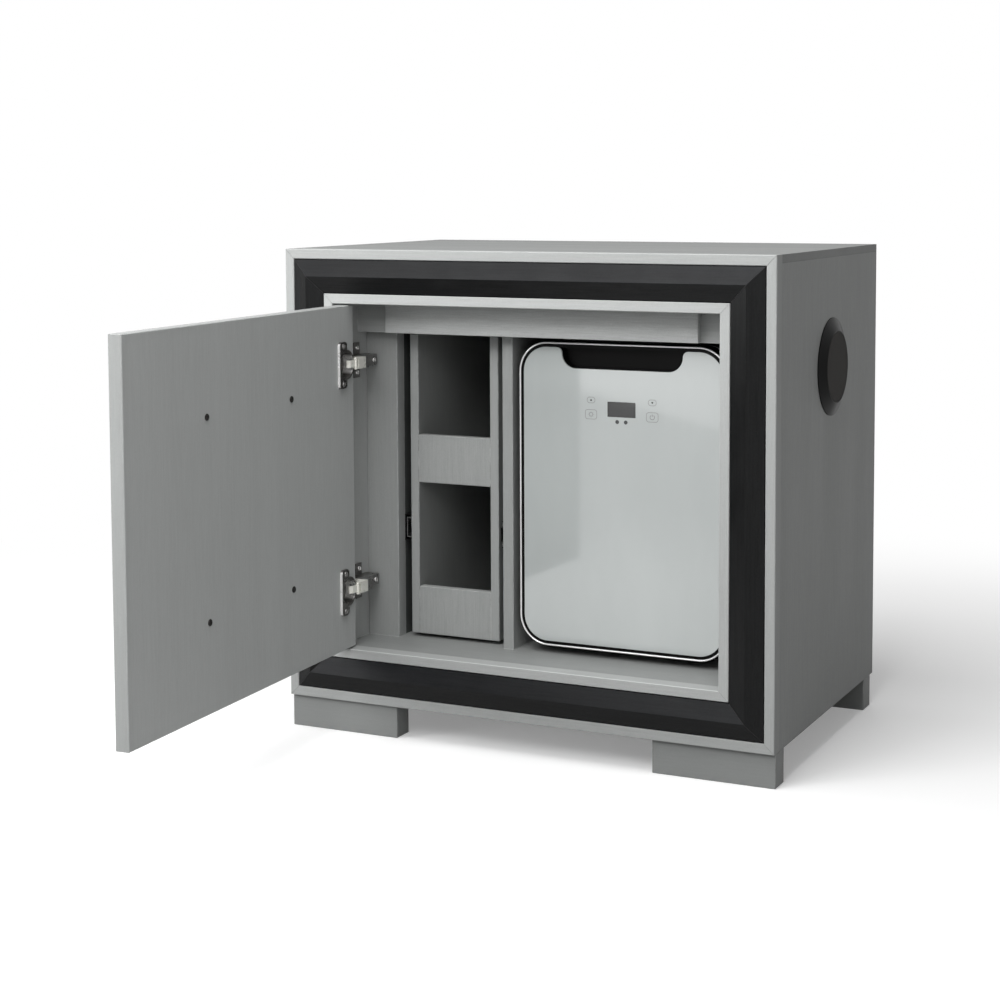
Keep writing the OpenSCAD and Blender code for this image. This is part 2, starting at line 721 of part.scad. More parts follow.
// Balls beyond the height h, joined to the middle member by a strip on its side of the race.
module ball_row(h, y0, outward) for (place = [[slide_x, 1], [divider_x0, -1]], s = [-1, 1])
    translate([place[0] + place[1] * ball_u, slide_y0 + y0, slide_z + s * (h + ball_gap / 2)]) {
        for (i = [0:balls - 1]) translate([0, i * ball_pitch, 0]) sphere(ball_r, $fn = 24);
        translate([-1, -5, -s * outward * ball_gap / 2 - 0.35])
            cube([2, ball_pitch * (balls - 1) + 10, 0.7]);
    }

module slide_rack_members() color("gray") at_front() slide_pair()
    translate([slide_t, 0]) mirror([1, 0]) channel(0, slide_t - 5.5, rack_member_half);

// ---------------------------------------------------------------- speakers

// Draws a round profile outward from each side panel.
module on_sides() for (side = [-1, 1])
    translate([side * half_w, speaker_y, speaker_z]) rotate([0, side * 90, 0]) children();

// Bevelled ring round the grille, with a spigot in the side panel's bore.
module speaker_rings() color([0.1, 0.1, 0.1]) at_front() on_sides() rotate_extrude()
    polygon([[speaker_grille_r - 5, -side_t], [speaker_grille_r, -side_t], [speaker_grille_r, 0],
        [speaker_ring_r, 0], [speaker_ring_r, 1], [speaker_grille_r + 1, speaker_rise],
        [speaker_grille_r, speaker_rise - 0.3], [speaker_grille_r, 1], [speaker_grille_r - 5, 1]]);

// Raised grille with a round shoulder, level with the ring round it.
module speaker_grilles() color([0.2, 0.2, 0.2]) at_front() on_sides() rotate_extrude() {
    translate([0, 1]) square([speaker_grille_r - grille_edge - 0.2, speaker_rise - 1]);
    translate([0, 1]) square([speaker_grille_r - 0.2, speaker_rise - 1 - grille_edge]);
    translate([speaker_grille_r - 0.2 - grille_edge, speaker_rise - grille_edge])
        circle(grille_edge, $fn = 48);
}
grille_edge = 1;

// Basket and magnet behind the side panel, with the paper cone and its surround inside.
module speaker_drivers() color([0.25, 0.25, 0.25]) at_front() on_sides() {
    rotate_extrude() polygon([[0, -side_t - driver_depth], [26, -side_t - driver_depth],
        [26, -side_t - driver_depth + 12], [18, -side_t - driver_depth + 12],
        [speaker_grille_r, -side_t - 3], [speaker_ring_r - 4, -side_t - 3], [speaker_ring_r - 4, -side_t],
        [speaker_grille_r - 6, -side_t], [13, -side_t - driver_depth + 14],
        [0, -side_t - driver_depth + 14]]);
    rotate_extrude() polygon([[0, -side_t - driver_depth + 16], [10, -side_t - driver_depth + 16],
        [speaker_grille_r - 9, -side_t - 0.5], [speaker_grille_r - 8, -side_t + 1.5],
        [speaker_grille_r - 12, -side_t + 3], [speaker_grille_r - 15, -side_t + 1],
        [10, -side_t - driver_depth + 19], [6, -side_t - driver_depth + 22],
        [0, -side_t - driver_depth + 23]]);
}
driver_depth = 34;

// ---------------------------------------------------------------- refrigerator body

module body_outline(inset) translate([0, fridge_h / 2])
    round_rect(fridge_w - 2 * inset, fridge_h - 2 * inset, fridge_r - inset);

module chamber_outline(grow) translate([0, fridge_h / 2])
    round_rect(chamber_w + 2 * grow, chamber_h + 2 * grow, chamber_r + grow);

module fridge_shell() color([0.12, 0.12, 0.13]) on_fridge() slab(body_y, fridge_d) difference() {
    body_outline(0);
    body_outline(shell_t);
}

// Front flange, chamber walls, back wall and the two ledges for the shelf.
module fridge_liner() color("white") on_fridge() difference() {
    union() {
        slab(body_y, body_y + flange_t) difference() {
            body_outline(shell_t);
            chamber_outline(0);
        }
        slab(body_y + flange_t, liner_back) difference() {
            chamber_outline(liner_t);
            chamber_outline(0);
        }
        slab(liner_back, liner_back + liner_t) chamber_outline(liner_t);
        for (side = [-1, 1]) translate([side * (chamber_w / 2 - 2), 0, 0])
            board([-2, 2], [body_y + 24, liner_back], [ledge_z - 4, ledge_z]);
    }
    lug_slots();
    translate([0, 0, cooling_z]) board([-module_half, module_half],
        [liner_back - 1, liner_back + liner_t + 1], [-module_half, module_half]);
}

module lug_slots() for (z = lug_z)
    board([pin_x - lug_half, pin_x + lug_half], [body_y - 1, body_y + 8], [z - lug_t / 2, z + lug_t / 2]);

module fridge_foam() color("khaki") on_fridge() difference() {
    slab(body_y + flange_t, foam_back) body_outline(shell_t);
    slab(body_y + flange_t - 1, liner_back + liner_t) chamber_outline(liner_t);
    lug_slots();
    translate([0, 0, cooling_z]) board([-module_half, module_half], [liner_back, foam_back + 1],
        [-module_half, module_half]);
}

// A clear shelf with a raised front lip, on the liner's ledges.
module fridge_shelf() color("lightblue", 0.6) on_fridge() {
    board([-chamber_w / 2 + 1, chamber_w / 2 - 1], [body_y + shelf_setback, liner_back - 2],
        [ledge_z, ledge_z + 3]);
    board([-chamber_w / 2 + 6, chamber_w / 2 - 6], [body_y + shelf_setback, body_y + shelf_setback + 3],
        [ledge_z + 3, ledge_z + shelf_rise]);
}

// Cover over the inner fan, with a ring of slots.
module fan_cover() color("white") on_fridge() translate([0, 0, cooling_z]) difference() {
    slab(liner_back - cover_d, liner_back) round_rect(cover_w, cover_w, 8);
    slab(liner_back - cover_d + cover_wall, liner_back + 1)
        round_rect(cover_w - 2 * cover_wall, cover_w - 2 * cover_wall, 8 - cover_wall);
    for (row = [-4:4]) slab(liner_back - cover_d - 1, liner_back - cover_d + cover_wall + 1)
        translate([0, row * 6]) square([2 * sqrt(pow(cold_fan_w / 2 - 3, 2) - pow(row * 6, 2)), 3.2],
            center = true);
}

// Finned cold plate, with a boss that reaches through the insulation to the thermoelectric module.
module cold_sink() color("silver") on_fridge() translate([0, 0, cooling_z]) {
    board([-module_half, module_half], [liner_back, foam_back - 4], [-module_half, module_half]);
    board([-cold_w / 2, cold_w / 2], [liner_back - 4, liner_back], [-cold_w / 2, cold_w / 2]);
    for (i = [0:cold_fins - 1])
        translate([(i - (cold_fins - 1) / 2) * (cold_w - fin_t) / (cold_fins - 1), 0, 0])
            board([-fin_t / 2, fin_t / 2], [liner_back - 4 - cold_fin_d, liner_back - 4],
                [-cold_w / 2, cold_w / 2]);
}
cold_fins = 13;

module peltier_module() color("white") on_fridge() translate([0, 0, cooling_z])
    board([-module_half, module_half], [foam_back - 4, foam_back], [-module_half, module_half]);

module heat_sink() color("silver") on_fridge() translate([0, 0, cooling_z]) {
    board([-sink_w / 2, sink_w / 2], [foam_back, foam_back + sink_base_t], [-sink_w / 2, sink_w / 2]);
    for (i = [0:sink_fins - 1])
        translate([(i - (sink_fins - 1) / 2) * (sink_w - fin_t) / (sink_fins - 1), 0, 0])
            board([-fin_t / 2, fin_t / 2], [foam_back + sink_base_t, fan_y], [-sink_w / 2, sink_w / 2]);
}

// A square fan frame with a round duct, four screw holes, a motor seat on four struts and a shaft.
module fan_frame(w, y0, t) {
    duct = w / 2 - 3;
    difference() {
        slab(y0, y0 + t) round_rect(w, w, 5);
        rod_y(0, y0 - 1, y0 + t + 1, 0, duct);
        for (sx = [-1, 1], sz = [-1, 1]) rod_y(sx * (w / 2 - 5), y0 - 1, y0 + t + 1, sz * (w / 2 - 5), 2);
    }
    rod_y(0, y0 + t - 3, y0 + t, 0, w * 0.16);
    for (turn = [0:90:270]) rotate([0, turn + 20, 0])
        board([w * 0.12, duct + 1], [y0 + t - 3, y0 + t], [-1.5, 1.5]);
    rod_y(0, y0 + 2, y0 + t - 3, 0, 1.5);
}

// Hub and pitched blades, on a bore that runs on the fan's shaft.
module fan_rotor(w, y0, t) {
    tip = w / 2 - 3 - 1.5;
    hub = w * 0.17;
    difference() {
        union() {
            rod_y(0, y0 + 1, y0 + t - 4, 0, hub);
            for (i = [0:fan_blades - 1]) rotate([0, i * 360 / fan_blades, 0])
                intersection() {
                    translate([0, y0 + t / 2 - 1.5, (hub + tip) / 2]) rotate([0, 0, 38])
                        cube([w * 0.2, 1.2, tip - hub + 4], center = true);
                    rod_y(0, y0 + 1, y0 + t - 4, 0, tip);
                }
        }
        rod_y(0, y0 + 2 - run_gap, y0 + t, 0, 1.5 + pin_fit);
    }
}

module inner_fan_frame() color([0.1, 0.1, 0.1]) on_fridge() translate([0, 0, cooling_z])
    fan_frame(cold_fan_w, cold_fan_y, cold_fan_t);

module inner_fan_rotor() color([0.2, 0.2, 0.2]) on_fridge() translate([0, 0, cooling_z])
    fan_rotor(cold_fan_w, cold_fan_y, cold_fan_t);

module outer_fan_frame() color([0.1, 0.1, 0.1]) on_fridge() translate([0, 0, cooling_z])
    fan_frame(fan_w, fan_y, fan_t);

module outer_fan_rotor() color([0.2, 0.2, 0.2]) on_fridge() translate([0, 0, cooling_z])
    fan_rotor(fan_w, fan_y, fan_t);

// Rear cover with a round field of slots over the fan and an opening for the inlet.
module rear_cover() color([0.12, 0.12, 0.13]) on_fridge() difference() {
    slab(fridge_d - 3, fridge_d) body_outline(shell_t);
    for (row = [-6:6]) slab(fridge_d - 4, fridge_d + 1) translate([0, cooling_z + row * 7])
        square([2 * sqrt(pow(fan_w / 2 + 2, 2) - pow(row * 7, 2)), 4], center = true);
    translate([inlet_x, 0, inlet_z]) board([-14, 14], [fridge_d - 4, fridge_d + 1], [-10, 10]);
}
inlet_x = -fridge_w / 2 + inlet_inset;
inlet_z = inlet_inset;

// A plain two-pin inlet.
module power_inlet() color([0.05, 0.05, 0.05]) on_fridge() translate([inlet_x, 0, inlet_z]) {
    difference() {
        board([-14, 14], [fridge_d - 20, fridge_d], [-10, 10]);
        slab(fridge_d - 14, fridge_d + 1) round_rect(20, 12, 5);
    }
    for (x = [-4.5, 4.5]) rod_y(x, fridge_d - 14, fridge_d - 4, 0, 1.2);
}

module fridge_feet() color([0.05, 0.05, 0.05]) on_fridge()
    for (x = [-1, 1], y = [body_y + fridge_foot_inset, fridge_d - fridge_foot_inset])
        translate([x * (fridge_w / 2 - fridge_r - 6), y, -fridge_foot_h])
            cylinder(r1 = 8, r2 = 9, h = fridge_foot_h);

// Two lugs with pins, set into the front of the body.
module fridge_hinge_brackets() color("dimgray") on_fridge() for (z = lug_z) {
    translate([0, 0, z - lug_t / 2]) linear_extrude(lug_t) {
        translate([pin_x, pin_y]) circle(lug_half);
        translate([pin_x - lug_half, pin_y]) square([2 * lug_half, body_y + 8 - pin_y]);
    }
    translate([pin_x, pin_y, z - lug_t / 2 - lug_pin_len])
        cylinder(r = door_pin_r, h = lug_t + 2 * lug_pin_len);
}
lug_pin_len = 8;

// ---------------------------------------------------------------- refrigerator door

// Outline of the hand recess: rounded below, flared where it meets the top of the glass.
module recess_outline(grow = 0) translate([0, fridge_h - bezel_w - line_w]) {
    flare = 7;
    bottom_r = recess_h - flare;
    w = recess_half + grow;
    translate([-w, -recess_h - grow + bottom_r]) square([2 * w, recess_h + grow - bottom_r + 1]);
    translate([-w + bottom_r, -recess_h - grow]) square([2 * (w - bottom_r), bottom_r + 1]);
    for (s = [-1, 1]) {
        translate([s * (w - bottom_r), -recess_h - grow + bottom_r]) circle(bottom_r);
        translate([s * w, 0]) mirror([s < 0 ? 1 : 0, 0]) difference() {
            translate([-1, -flare]) square([flare + 1, flare + 1]);
            translate([flare, -flare]) circle(flare);
        }
    }
}

module glass_outline() difference() {
    translate([0, fridge_h / 2]) round_rect(glass_w, glass_h, glass_r);
    recess_outline();
}

// Cuts room for the lugs over the door's whole swing, and the bores for their pins.
module door_hinge_cuts() for (z = lug_z) {
    board([pin_x - lug_half - 2, fridge_w / 2 + 1], [pin_y - lug_half - 2, fridge_door_t + 1],
        [z - lug_t / 2 - notch_play, z + lug_t / 2 + notch_play]);
    translate([pin_x, pin_y, z - lug_t / 2 - lug_pin_len - 1])
        cylinder(r = door_pin_r + pin_fit, h = lug_t + 2 * lug_pin_len + 2);
}

module fridge_door_shell() color([0.06, 0.06, 0.06]) on_fridge() difference() {
    union() {
        slab(bezel_d, fridge_door_t - liner_plate_t) body_outline(0);
        slab(1.2, bezel_d) body_outline(bezel_w);
    }
    slab(0, 0.5 + glass_t) translate([0, fridge_h / 2]) round_rect(glass_w, glass_h, glass_r);
    slab(0, recess_d) intersection() {
        recess_outline();
        body_outline(bezel_w + line_w);
    }
    slab(0, board_seat) translate([0, fridge_h - display_drop]) square([circuit_w + 2, circuit_h + 2],
        center = true);
    door_hinge_cuts();
}
bezel_d = 4;
liner_plate_t = 7;
board_seat = 9;

module fridge_bezel() color("white") on_fridge() slab(0, bezel_d) difference() {
    body_outline(0);
    body_outline(bezel_w);
}

module fridge_glass() color("white") on_fridge() slab(0.5, 0.5 + glass_t) difference() {
    glass_outline();
    translate([0, fridge_h - display_drop]) square([display_w, display_h], center = true);
    for (side = [-1, 1]) translate([side * led_pitch / 2, led_z]) circle(led_r);
}
led_z = fridge_h - display_drop - display_h / 2 - 6;

// Dark display window and the two status lights under it.
module fridge_display() color([0.25, 0.27, 0.3]) on_fridge() {
    slab(0.5, 0.5 + glass_t) translate([0, fridge_h - display_drop])
        square([display_w, display_h], center = true);
    for (side = [-1, 1]) rod_y(side * led_pitch / 2, 0.5, 0.5 + glass_t, led_z, led_r);
}

// Circuit board behind the glass, with a pad for each of the four touch keys.
module control_board() color("darkgreen") on_fridge() {
    slab(board_seat - 2, board_seat) translate([0, fridge_h - display_drop]) square([circuit_w, circuit_h],
        center = true);
    for (x = [-key_x, key_x], z = [-key_z, key_z])
        rod_y(x, 0.5 + glass_t, board_seat - 2, fridge_h - display_drop + z, 4.5);
    translate([0, 0, fridge_h - display_drop])
        board([-17, 17], [0.5 + glass_t, board_seat - 2], [-8, 8]);
}
key_x = 41;
key_z = 9;

// Inner panel of the door with the raised plug that carries the bins.
module fridge_door_liner() color("white") on_fridge() difference() {
    union() {
        slab(fridge_door_t - liner_plate_t, fridge_door_t) body_outline(0);
        slab(fridge_door_t, fridge_door_t + plug_d) translate([0, fridge_h / 2])
            round_rect(chamber_w - 2 * plug_gap, chamber_h - 2 * plug_gap, chamber_r - 4);
    }
    slab(fridge_door_t - 3, fridge_door_t + plug_d + 1) plug_inside(0);
    door_hinge_cuts();
}

// Inner outline of the plug, drawn in by a margin.
module plug_inside(margin) translate([0, fridge_h / 2])
    round_rect(bin_w - 2 * margin, chamber_h - 2 * (plug_gap + plug_wall + margin), 6 - margin);
plug_d = 14;
plug_gap = 9;
plug_wall = 8;

module fridge_gasket() color([0.3, 0.3, 0.3]) on_fridge()
    slab(fridge_door_t, body_y - run_gap) difference() {
        body_outline(gasket_inset);
        body_outline(gasket_inset + gasket_w);
    }

// Two open bins between the plug's walls.
module fridge_door_bins() color("lightblue", 0.6) on_fridge() for (z = bin_z) difference() {
    slab(fridge_door_t - 3, fridge_door_t + bin_d) intersection() {
        plug_inside(0);
        translate([-bin_w / 2, z]) square([bin_w, bin_h]);
    }
    slab(fridge_door_t - 3 + bin_wall, fridge_door_t + bin_d - bin_wall) intersection() {
        plug_inside(bin_wall);
        translate([-bin_w / 2, z + bin_wall]) square([bin_w, bin_h + 1]);
    }
}
bin_wall = 2;
bin_w = chamber_w - 2 * plug_gap - 2 * plug_wall;
bin_z = [foam_t + plug_gap + plug_wall, foam_t + plug_gap + plug_wall + bin_pitch];

top_panel();
left_side_panel();
right_side_panel();
bottom_panel();
deck_panel();
back_panel();
rim_rails();
moulding_lengths();
inner_rails();
feet();
hinge_wall();
filler_panel();
slide_wall();
right_inner_wall();
divider();
apron_rail();
apron_backer();
hinge_plates();
hinge_arms();
plate_screws();
door_catch();
slide_cabinet_members();
speaker_rings();
speaker_grilles();
speaker_drivers();
fridge_shell();
fridge_liner();
fridge_foam();
fridge_shelf();
fan_cover();
cold_sink();
inner_fan_frame();
peltier_module();
heat_sink();
outer_fan_frame();
rear_cover();
power_inlet();
fridge_feet();
fridge_hinge_brackets();
inner_fan_rotor();
outer_fan_rotor();
fridge_door_shell();
fridge_bezel();
fridge_glass();
fridge_display();
control_board();
fridge_door_liner();
fridge_gasket();
fridge_door_bins();
door_panel();
door_handles();
door_screws();
hinge_cups();
hinge_links();
rack_sides();
rack_shelves();
rack_back();
rack_rails();
slide_rack_members();
slide_middle_members();
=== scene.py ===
"""Dresses the refrigerator nightstand: the photo's camera, a procedural finish for every node, a pale
studio with eight lamps, and the pieces that are finer than the CAD: screws with a cross recess, the
crowned bezel of the refrigerator's door and the touch keys printed on its glass."""
import math

import bpy
import numpy as np
from mathutils import Matrix, Vector


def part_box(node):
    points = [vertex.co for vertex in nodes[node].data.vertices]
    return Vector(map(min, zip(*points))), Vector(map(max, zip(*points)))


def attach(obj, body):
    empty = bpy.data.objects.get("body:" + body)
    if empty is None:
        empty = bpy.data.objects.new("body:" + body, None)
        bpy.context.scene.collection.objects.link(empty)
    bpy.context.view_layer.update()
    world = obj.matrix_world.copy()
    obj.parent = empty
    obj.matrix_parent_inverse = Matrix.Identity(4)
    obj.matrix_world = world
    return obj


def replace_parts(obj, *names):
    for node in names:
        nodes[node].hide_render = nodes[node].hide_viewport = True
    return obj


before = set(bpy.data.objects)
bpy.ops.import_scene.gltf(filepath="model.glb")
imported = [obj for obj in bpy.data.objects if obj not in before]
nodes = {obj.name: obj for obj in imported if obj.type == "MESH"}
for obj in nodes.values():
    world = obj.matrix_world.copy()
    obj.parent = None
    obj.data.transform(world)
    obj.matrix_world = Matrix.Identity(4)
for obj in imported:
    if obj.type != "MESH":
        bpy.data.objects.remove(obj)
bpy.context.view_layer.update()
scene = bpy.context.scene

MM = 0.001


def box_mm(node):
    """Lowest and highest corner of a node, in millimetres, as numpy rows."""
    low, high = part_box(node)
    return np.array(low) / MM, np.array(high) / MM


def metres(row):
    """Three millimetre values as a tuple in metres."""
    return tuple(float(v) * MM for v in row)


# ---------------------------------------------------------------- camera

# Solved from the photo's corners and edges. The lens and its centre are in pixels of the photo, the
# angles in degrees, and the place in metres from the foot of the front plane.
PHOTO_PX = 1000
SENSOR_MM = 36
FOCAL_PX = 1947.2
CENTRE_PX = (521.1, 330.0)
CAMERA_YAW, CAMERA_PITCH, CAMERA_ROLL = 25.488, 4.311, -0.209
CAMERA_PLACE = (1.02258, -2.13283, 0.70799)
FRONT_PLANE_Y = 37.768 * MM

camera_data = bpy.data.cameras.new("photo_camera")
camera_data.sensor_width = SENSOR_MM
camera_data.lens = FOCAL_PX * SENSOR_MM / PHOTO_PX
camera_data.shift_x = (PHOTO_PX / 2 - CENTRE_PX[0]) / PHOTO_PX
camera_data.shift_y = (CENTRE_PX[1] - PHOTO_PX / 2) / PHOTO_PX
camera = bpy.data.objects.new("photo_camera", camera_data)
scene.collection.objects.link(camera)
camera.matrix_world = (
    Matrix.Translation((CAMERA_PLACE[0], CAMERA_PLACE[1] + FRONT_PLANE_Y, CAMERA_PLACE[2]))
    @ Matrix.Rotation(math.radians(CAMERA_YAW), 4, "Z")
    @ Matrix.Rotation(math.radians(90 - CAMERA_PITCH), 4, "X")
    @ Matrix.Rotation(math.radians(CAMERA_ROLL), 4, "Z"))
scene.camera = camera


# ---------------------------------------------------------------- shader tools

class Tree:
    """Adds shader nodes to a node tree and links them as they are made."""

    def __init__(self, tree):
        self.tree = tree

    def add(self, kind, inputs=None, **settings):
        """One node: settings are its properties, inputs its sockets, by name or number."""
        node = self.tree.nodes.new(kind)
        for name, value in settings.items():
            setattr(node, name, value)
        for key, value in (inputs or {}).items():
            self.put(node.inputs[key], value)
        return node

    def put(self, socket, value):
        """Links an output into the socket, or sets the socket to a constant."""
        if isinstance(value, bpy.types.NodeSocket):
            self.tree.links.new(value, socket)
        else:
            socket.default_value = value

    def group(self, tree, **inputs):
        """The outputs of a node group."""
        return self.add("ShaderNodeGroup", inputs, node_tree=tree).outputs

    def math(self, operation, a, b=0.0, clamp=False):
        """The result of one arithmetic step."""
        return self.add("ShaderNodeMath", {0: a, 1: b}, operation=operation, use_clamp=clamp).outputs[0]

    def vmath(self, operation, a, b=(0.0, 0.0, 0.0)):
        """The vector that one vector step gives."""
        return self.add("ShaderNodeVectorMath", {0: a, 1: b}, operation=operation).outputs[0]

    def length(self, vector):
        """The length of a vector."""
        return self.add("ShaderNodeVectorMath", {0: vector}, operation="LENGTH").outputs["Value"]

    def split(self, vector):
        """The three numbers of a vector."""
        return self.add("ShaderNodeSeparateXYZ", {0: vector}).outputs

    def normal(self):
        """The three numbers of the normal, in the object's own axes."""
        return self.split(self.add("ShaderNodeTexCoord").outputs["Normal"])

    def mix(self, amount, a, b):
        """The number a at amount 0, and b at amount 1."""
        return self.add("ShaderNodeMix", {0: amount, 2: a, 3: b}, data_type="FLOAT").outputs[0]

    def blend(self, amount, a, b):
        """The colour a at amount 0, and b at amount 1."""
        return self.add("ShaderNodeMix", {0: amount, 6: a, 7: b}, data_type="RGBA").outputs[2]

    def ramp(self, value, low, high, start=0.0, end=1.0):
        """The value carried smoothly from low..high to start..end."""
        return self.add("ShaderNodeMapRange", {0: value, 1: low, 2: high, 3: start, 4: end},
                        interpolation_type="SMOOTHSTEP").outputs[0]

    def noise(self, where, scale, detail=3.0, rough=0.5):
        """Cloudy noise from 0 to 1, with its scale in cycles per unit of the vector."""
        return self.add("ShaderNodeTexNoise", {"Vector": where, "Scale": scale, "Detail": detail,
                                               "Roughness": rough}).outputs[0]

    def streaks(self, where, scales, detail, rough):
        """Noise with its own scale along each axis."""
        return self.noise(self.vmath("MULTIPLY", where, scales), 1.0, detail, rough)


def shader_group(name, inputs, outputs, build):
    """A node group: inputs and outputs are name and socket kind; build fills it from its input node."""
    tree = bpy.data.node_groups.new(name, "ShaderNodeTree")
    for label, kind in inputs:
        tree.interface.new_socket(label, in_out="INPUT", socket_type="NodeSocket" + kind)
    for label, kind in outputs:
        tree.interface.new_socket(label, in_out="OUTPUT", socket_type="NodeSocket" + kind)
    t = Tree(tree)
    entry = t.add("NodeGroupInput")
    t.add("NodeGroupOutput", build(t, entry.outputs))
    return tree


def build_satin_grain(t, i):
    """Streaks along the grain: noise stretched 30 to 1, a slow tone 15 to 1, short dark pores and a
    fine speckle. Upright turns the grain from X to Z. Shade, round 0.5, is 0.48 streaks + 0.22 tone
    + 0.30 speckle - 0.10 pores; Height, for bump, is 0.8 streaks - 0.6 pores."""
    x, y, z = t.split(i["Position"])
    turned = t.add("ShaderNodeCombineXYZ", {0: z, 1: y, 2: x})
    where = t.add("ShaderNodeMix", {0: i["Upright"], 4: i["Position"], 5: turned.outputs[0]},
                  data_type="VECTOR").outputs[1]
    streaks = t.streaks(where, (16.0, 480.0, 480.0), 4.0, 0.72)
    slow = t.streaks(where, (1.6, 24.0, 24.0), 2.0, 0.5)
    pores = t.ramp(t.streaks(where, (70.0, 1500.0, 1500.0), 1.0, 0.5), 0.60, 0.72)
    speckle = t.noise(where, 620.0, 2.0, 0.7)
    shade = t.math("ADD", t.math("MULTIPLY", streaks, 0.48), t.math("MULTIPLY", slow, 0.22))
    shade = t.math("ADD", shade, t.math("MULTIPLY", speckle, 0.30))
    shade = t.math("SUBTRACT", shade, t.math("MULTIPLY", pores, 0.10))
    height = t.math("SUBTRACT", t.math("MULTIPLY", streaks, 0.8), t.math("MULTIPLY", pores, 0.6))
    return {"Shade": shade, "Height": height, "Tone": slow}


satin_grain = shader_group("satin_grain", [("Position", "Vector"), ("Upright", "Float")],
                           [("Shade", "Float"), ("Height", "Float"), ("Tone", "Float")], build_satin_grain)


def build_board_edges(t, i):
    """Edge fades out from the arrises of a box, Border more slowly. The distance to the nearest arris
    is the middle one of the three distances to the faces. Fold mirrors a position about the centre on
    the axes where it is 1."""
    away = t.vmath("SUBTRACT", i["Position"], i["Centre"])
    mirrored = t.vmath("ABSOLUTE", away)
    folded = t.vmath("ADD", t.vmath("MULTIPLY", away, t.vmath("SUBTRACT", (1.0, 1.0, 1.0), i["Fold"])),
                     t.vmath("MULTIPLY", mirrored, i["Fold"]))
    low = t.vmath("SUBTRACT", folded, i["Low"])
    high = t.vmath("SUBTRACT", i["High"], folded)
    a, b, c = t.split(t.vmath("ABSOLUTE", t.vmath("MINIMUM", low, high)))
    middle = t.math("MAXIMUM", t.math("MINIMUM", a, b), t.math("MINIMUM", t.math("MAXIMUM", a, b), c))
    edge_jitter = t.noise(i["Position"], 55.0, 3.0, 0.6)
    reach = t.math("MULTIPLY", i["Width"], t.ramp(edge_jitter, 0.25, 0.75, 0.35, 1.5))
    edge = t.math("SUBTRACT", 1.0, t.math("DIVIDE", middle, reach, clamp=True), clamp=True)
    # Border: a darker band along the arrises, fading out over 14 widths.
    edge_band = t.math("SUBTRACT", 1.0, t.math("DIVIDE", middle, t.math("MULTIPLY", i["Width"], 14.0), clamp=True),
                  clamp=True)
    return {"Edge": edge, "Border": t.math("MULTIPLY", edge_band, t.ramp(edge_jitter, 0.3, 0.7, 0.4, 1.0))}


board_edges = shader_group(
    "board_edges",
    [("Position", "Vector"), ("Centre", "Vector"), ("Fold", "Vector"), ("Low", "Vector"), ("High", "Vector"),
     ("Width", "Float")], [("Edge", "Float"), ("Border", "Float")], build_board_edges)


def build_mitre(t, i):
    """For a rectangular frame: a point's distances from the outside, sideways and up or down. The
    smaller one says which rail it is on, a thin line runs along the mitre where the two are the same,
    and Edge is 1 at the rail's inner and outer borders."""
    away = t.vmath("ABSOLUTE", t.vmath("SUBTRACT", i["Position"], i["Centre"]))
    sideways, _, upwards = t.split(t.vmath("SUBTRACT", i["Half"], away))
    upright = t.math("LESS_THAN", sideways, upwards)
    line = t.ramp(t.math("ABSOLUTE", t.math("SUBTRACT", sideways, upwards)), 0.2 * MM, 0.7 * MM, 1.0, 0.0)
    across = t.math("MINIMUM", sideways, upwards)
    rim = t.math("MINIMUM", across, t.math("SUBTRACT", i["Rail"], across))
    return {"Upright": upright, "Line": line, "Edge": t.ramp(rim, 0.0, 1.2 * MM, 1.0, 0.0)}


mitre = shader_group(
    "mitre", [("Position", "Vector"), ("Centre", "Vector"), ("Half", "Vector"), ("Rail", "Float")],
    [("Upright", "Float"), ("Line", "Float"), ("Edge", "Float")], build_mitre)


def build_dust(t, i):
    """A thin film of dust on faces that look up, broken by cloudy noise."""
    up = t.split(t.add("ShaderNodeNewGeometry").outputs["Normal"])[2]
    cloud = t.noise(i["Position"], 38.0, 4.0, 0.65)
    speck = t.ramp(t.noise(i["Position"], 900.0, 1.0, 0.5), 0.62, 0.72)
    film = t.math("MULTIPLY", t.ramp(up, 0.4, 0.95), t.ramp(cloud, 0.35, 0.75))
    return {"Film": t.math("ADD", film, t.math("MULTIPLY", t.math("MULTIPLY", speck, film), 0.8))}


dust = shader_group("dust", [("Position", "Vector")], [("Film", "Float")], build_dust)


def build_moulded_skin(t, i):
    """Skin of painted or moulded parts: pebbles, Grain of them to the metre, and slow mottling."""
    return {"Height": t.noise(i["Position"], i["Grain"], 2.0, 0.55),
            "Mottle": t.noise(i["Position"], 26.0, 3.0, 0.55)}


moulded_skin = shader_group("moulded_skin", [("Position", "Vector"), ("Grain", "Float")],
                            [("Height", "Float"), ("Mottle", "Float")], build_moulded_skin)


# ---------------------------------------------------------------- finishes

def tone(red, green, blue):
    """An sRGB colour of 0 to 255 as a linear colour."""
    def linear(v):
        v = max(v, 0.0) / 255
        return v / 12.92 if v <= 0.04045 else ((v + 0.055) / 1.055) ** 2.4
    return (linear(red), linear(green), linear(blue), 1.0)


def grey(level, warm=0.0):
    """A grey of 0 to 255; warm lifts red and lowers blue by that many steps."""
    return tone(level + warm, level, level - warm)


def silver(level):
    """The board finish: a grey with a trace of green."""
    return tone(level - 1, level + 1, level)


def new_material(name):
    """A material with its tree, its Principled shader and its object coordinates in metres."""
    material = bpy.data.materials.new(name)
    material.use_nodes = True
    t = Tree(material.node_tree)
    shader = material.node_tree.nodes["Principled BSDF"]
    where = t.add("ShaderNodeTexCoord").outputs["Object"]
    return material, t, shader, where


def bump(t, shader, height, depth, strength):
    """Sends a height through a Bump node of so many millimetres into the shader's normal."""
    node = t.add("ShaderNodeBump", {"Height": height, "Distance": depth * MM, "Strength": strength})
    t.put(shader.inputs["Normal"], node.outputs[0])


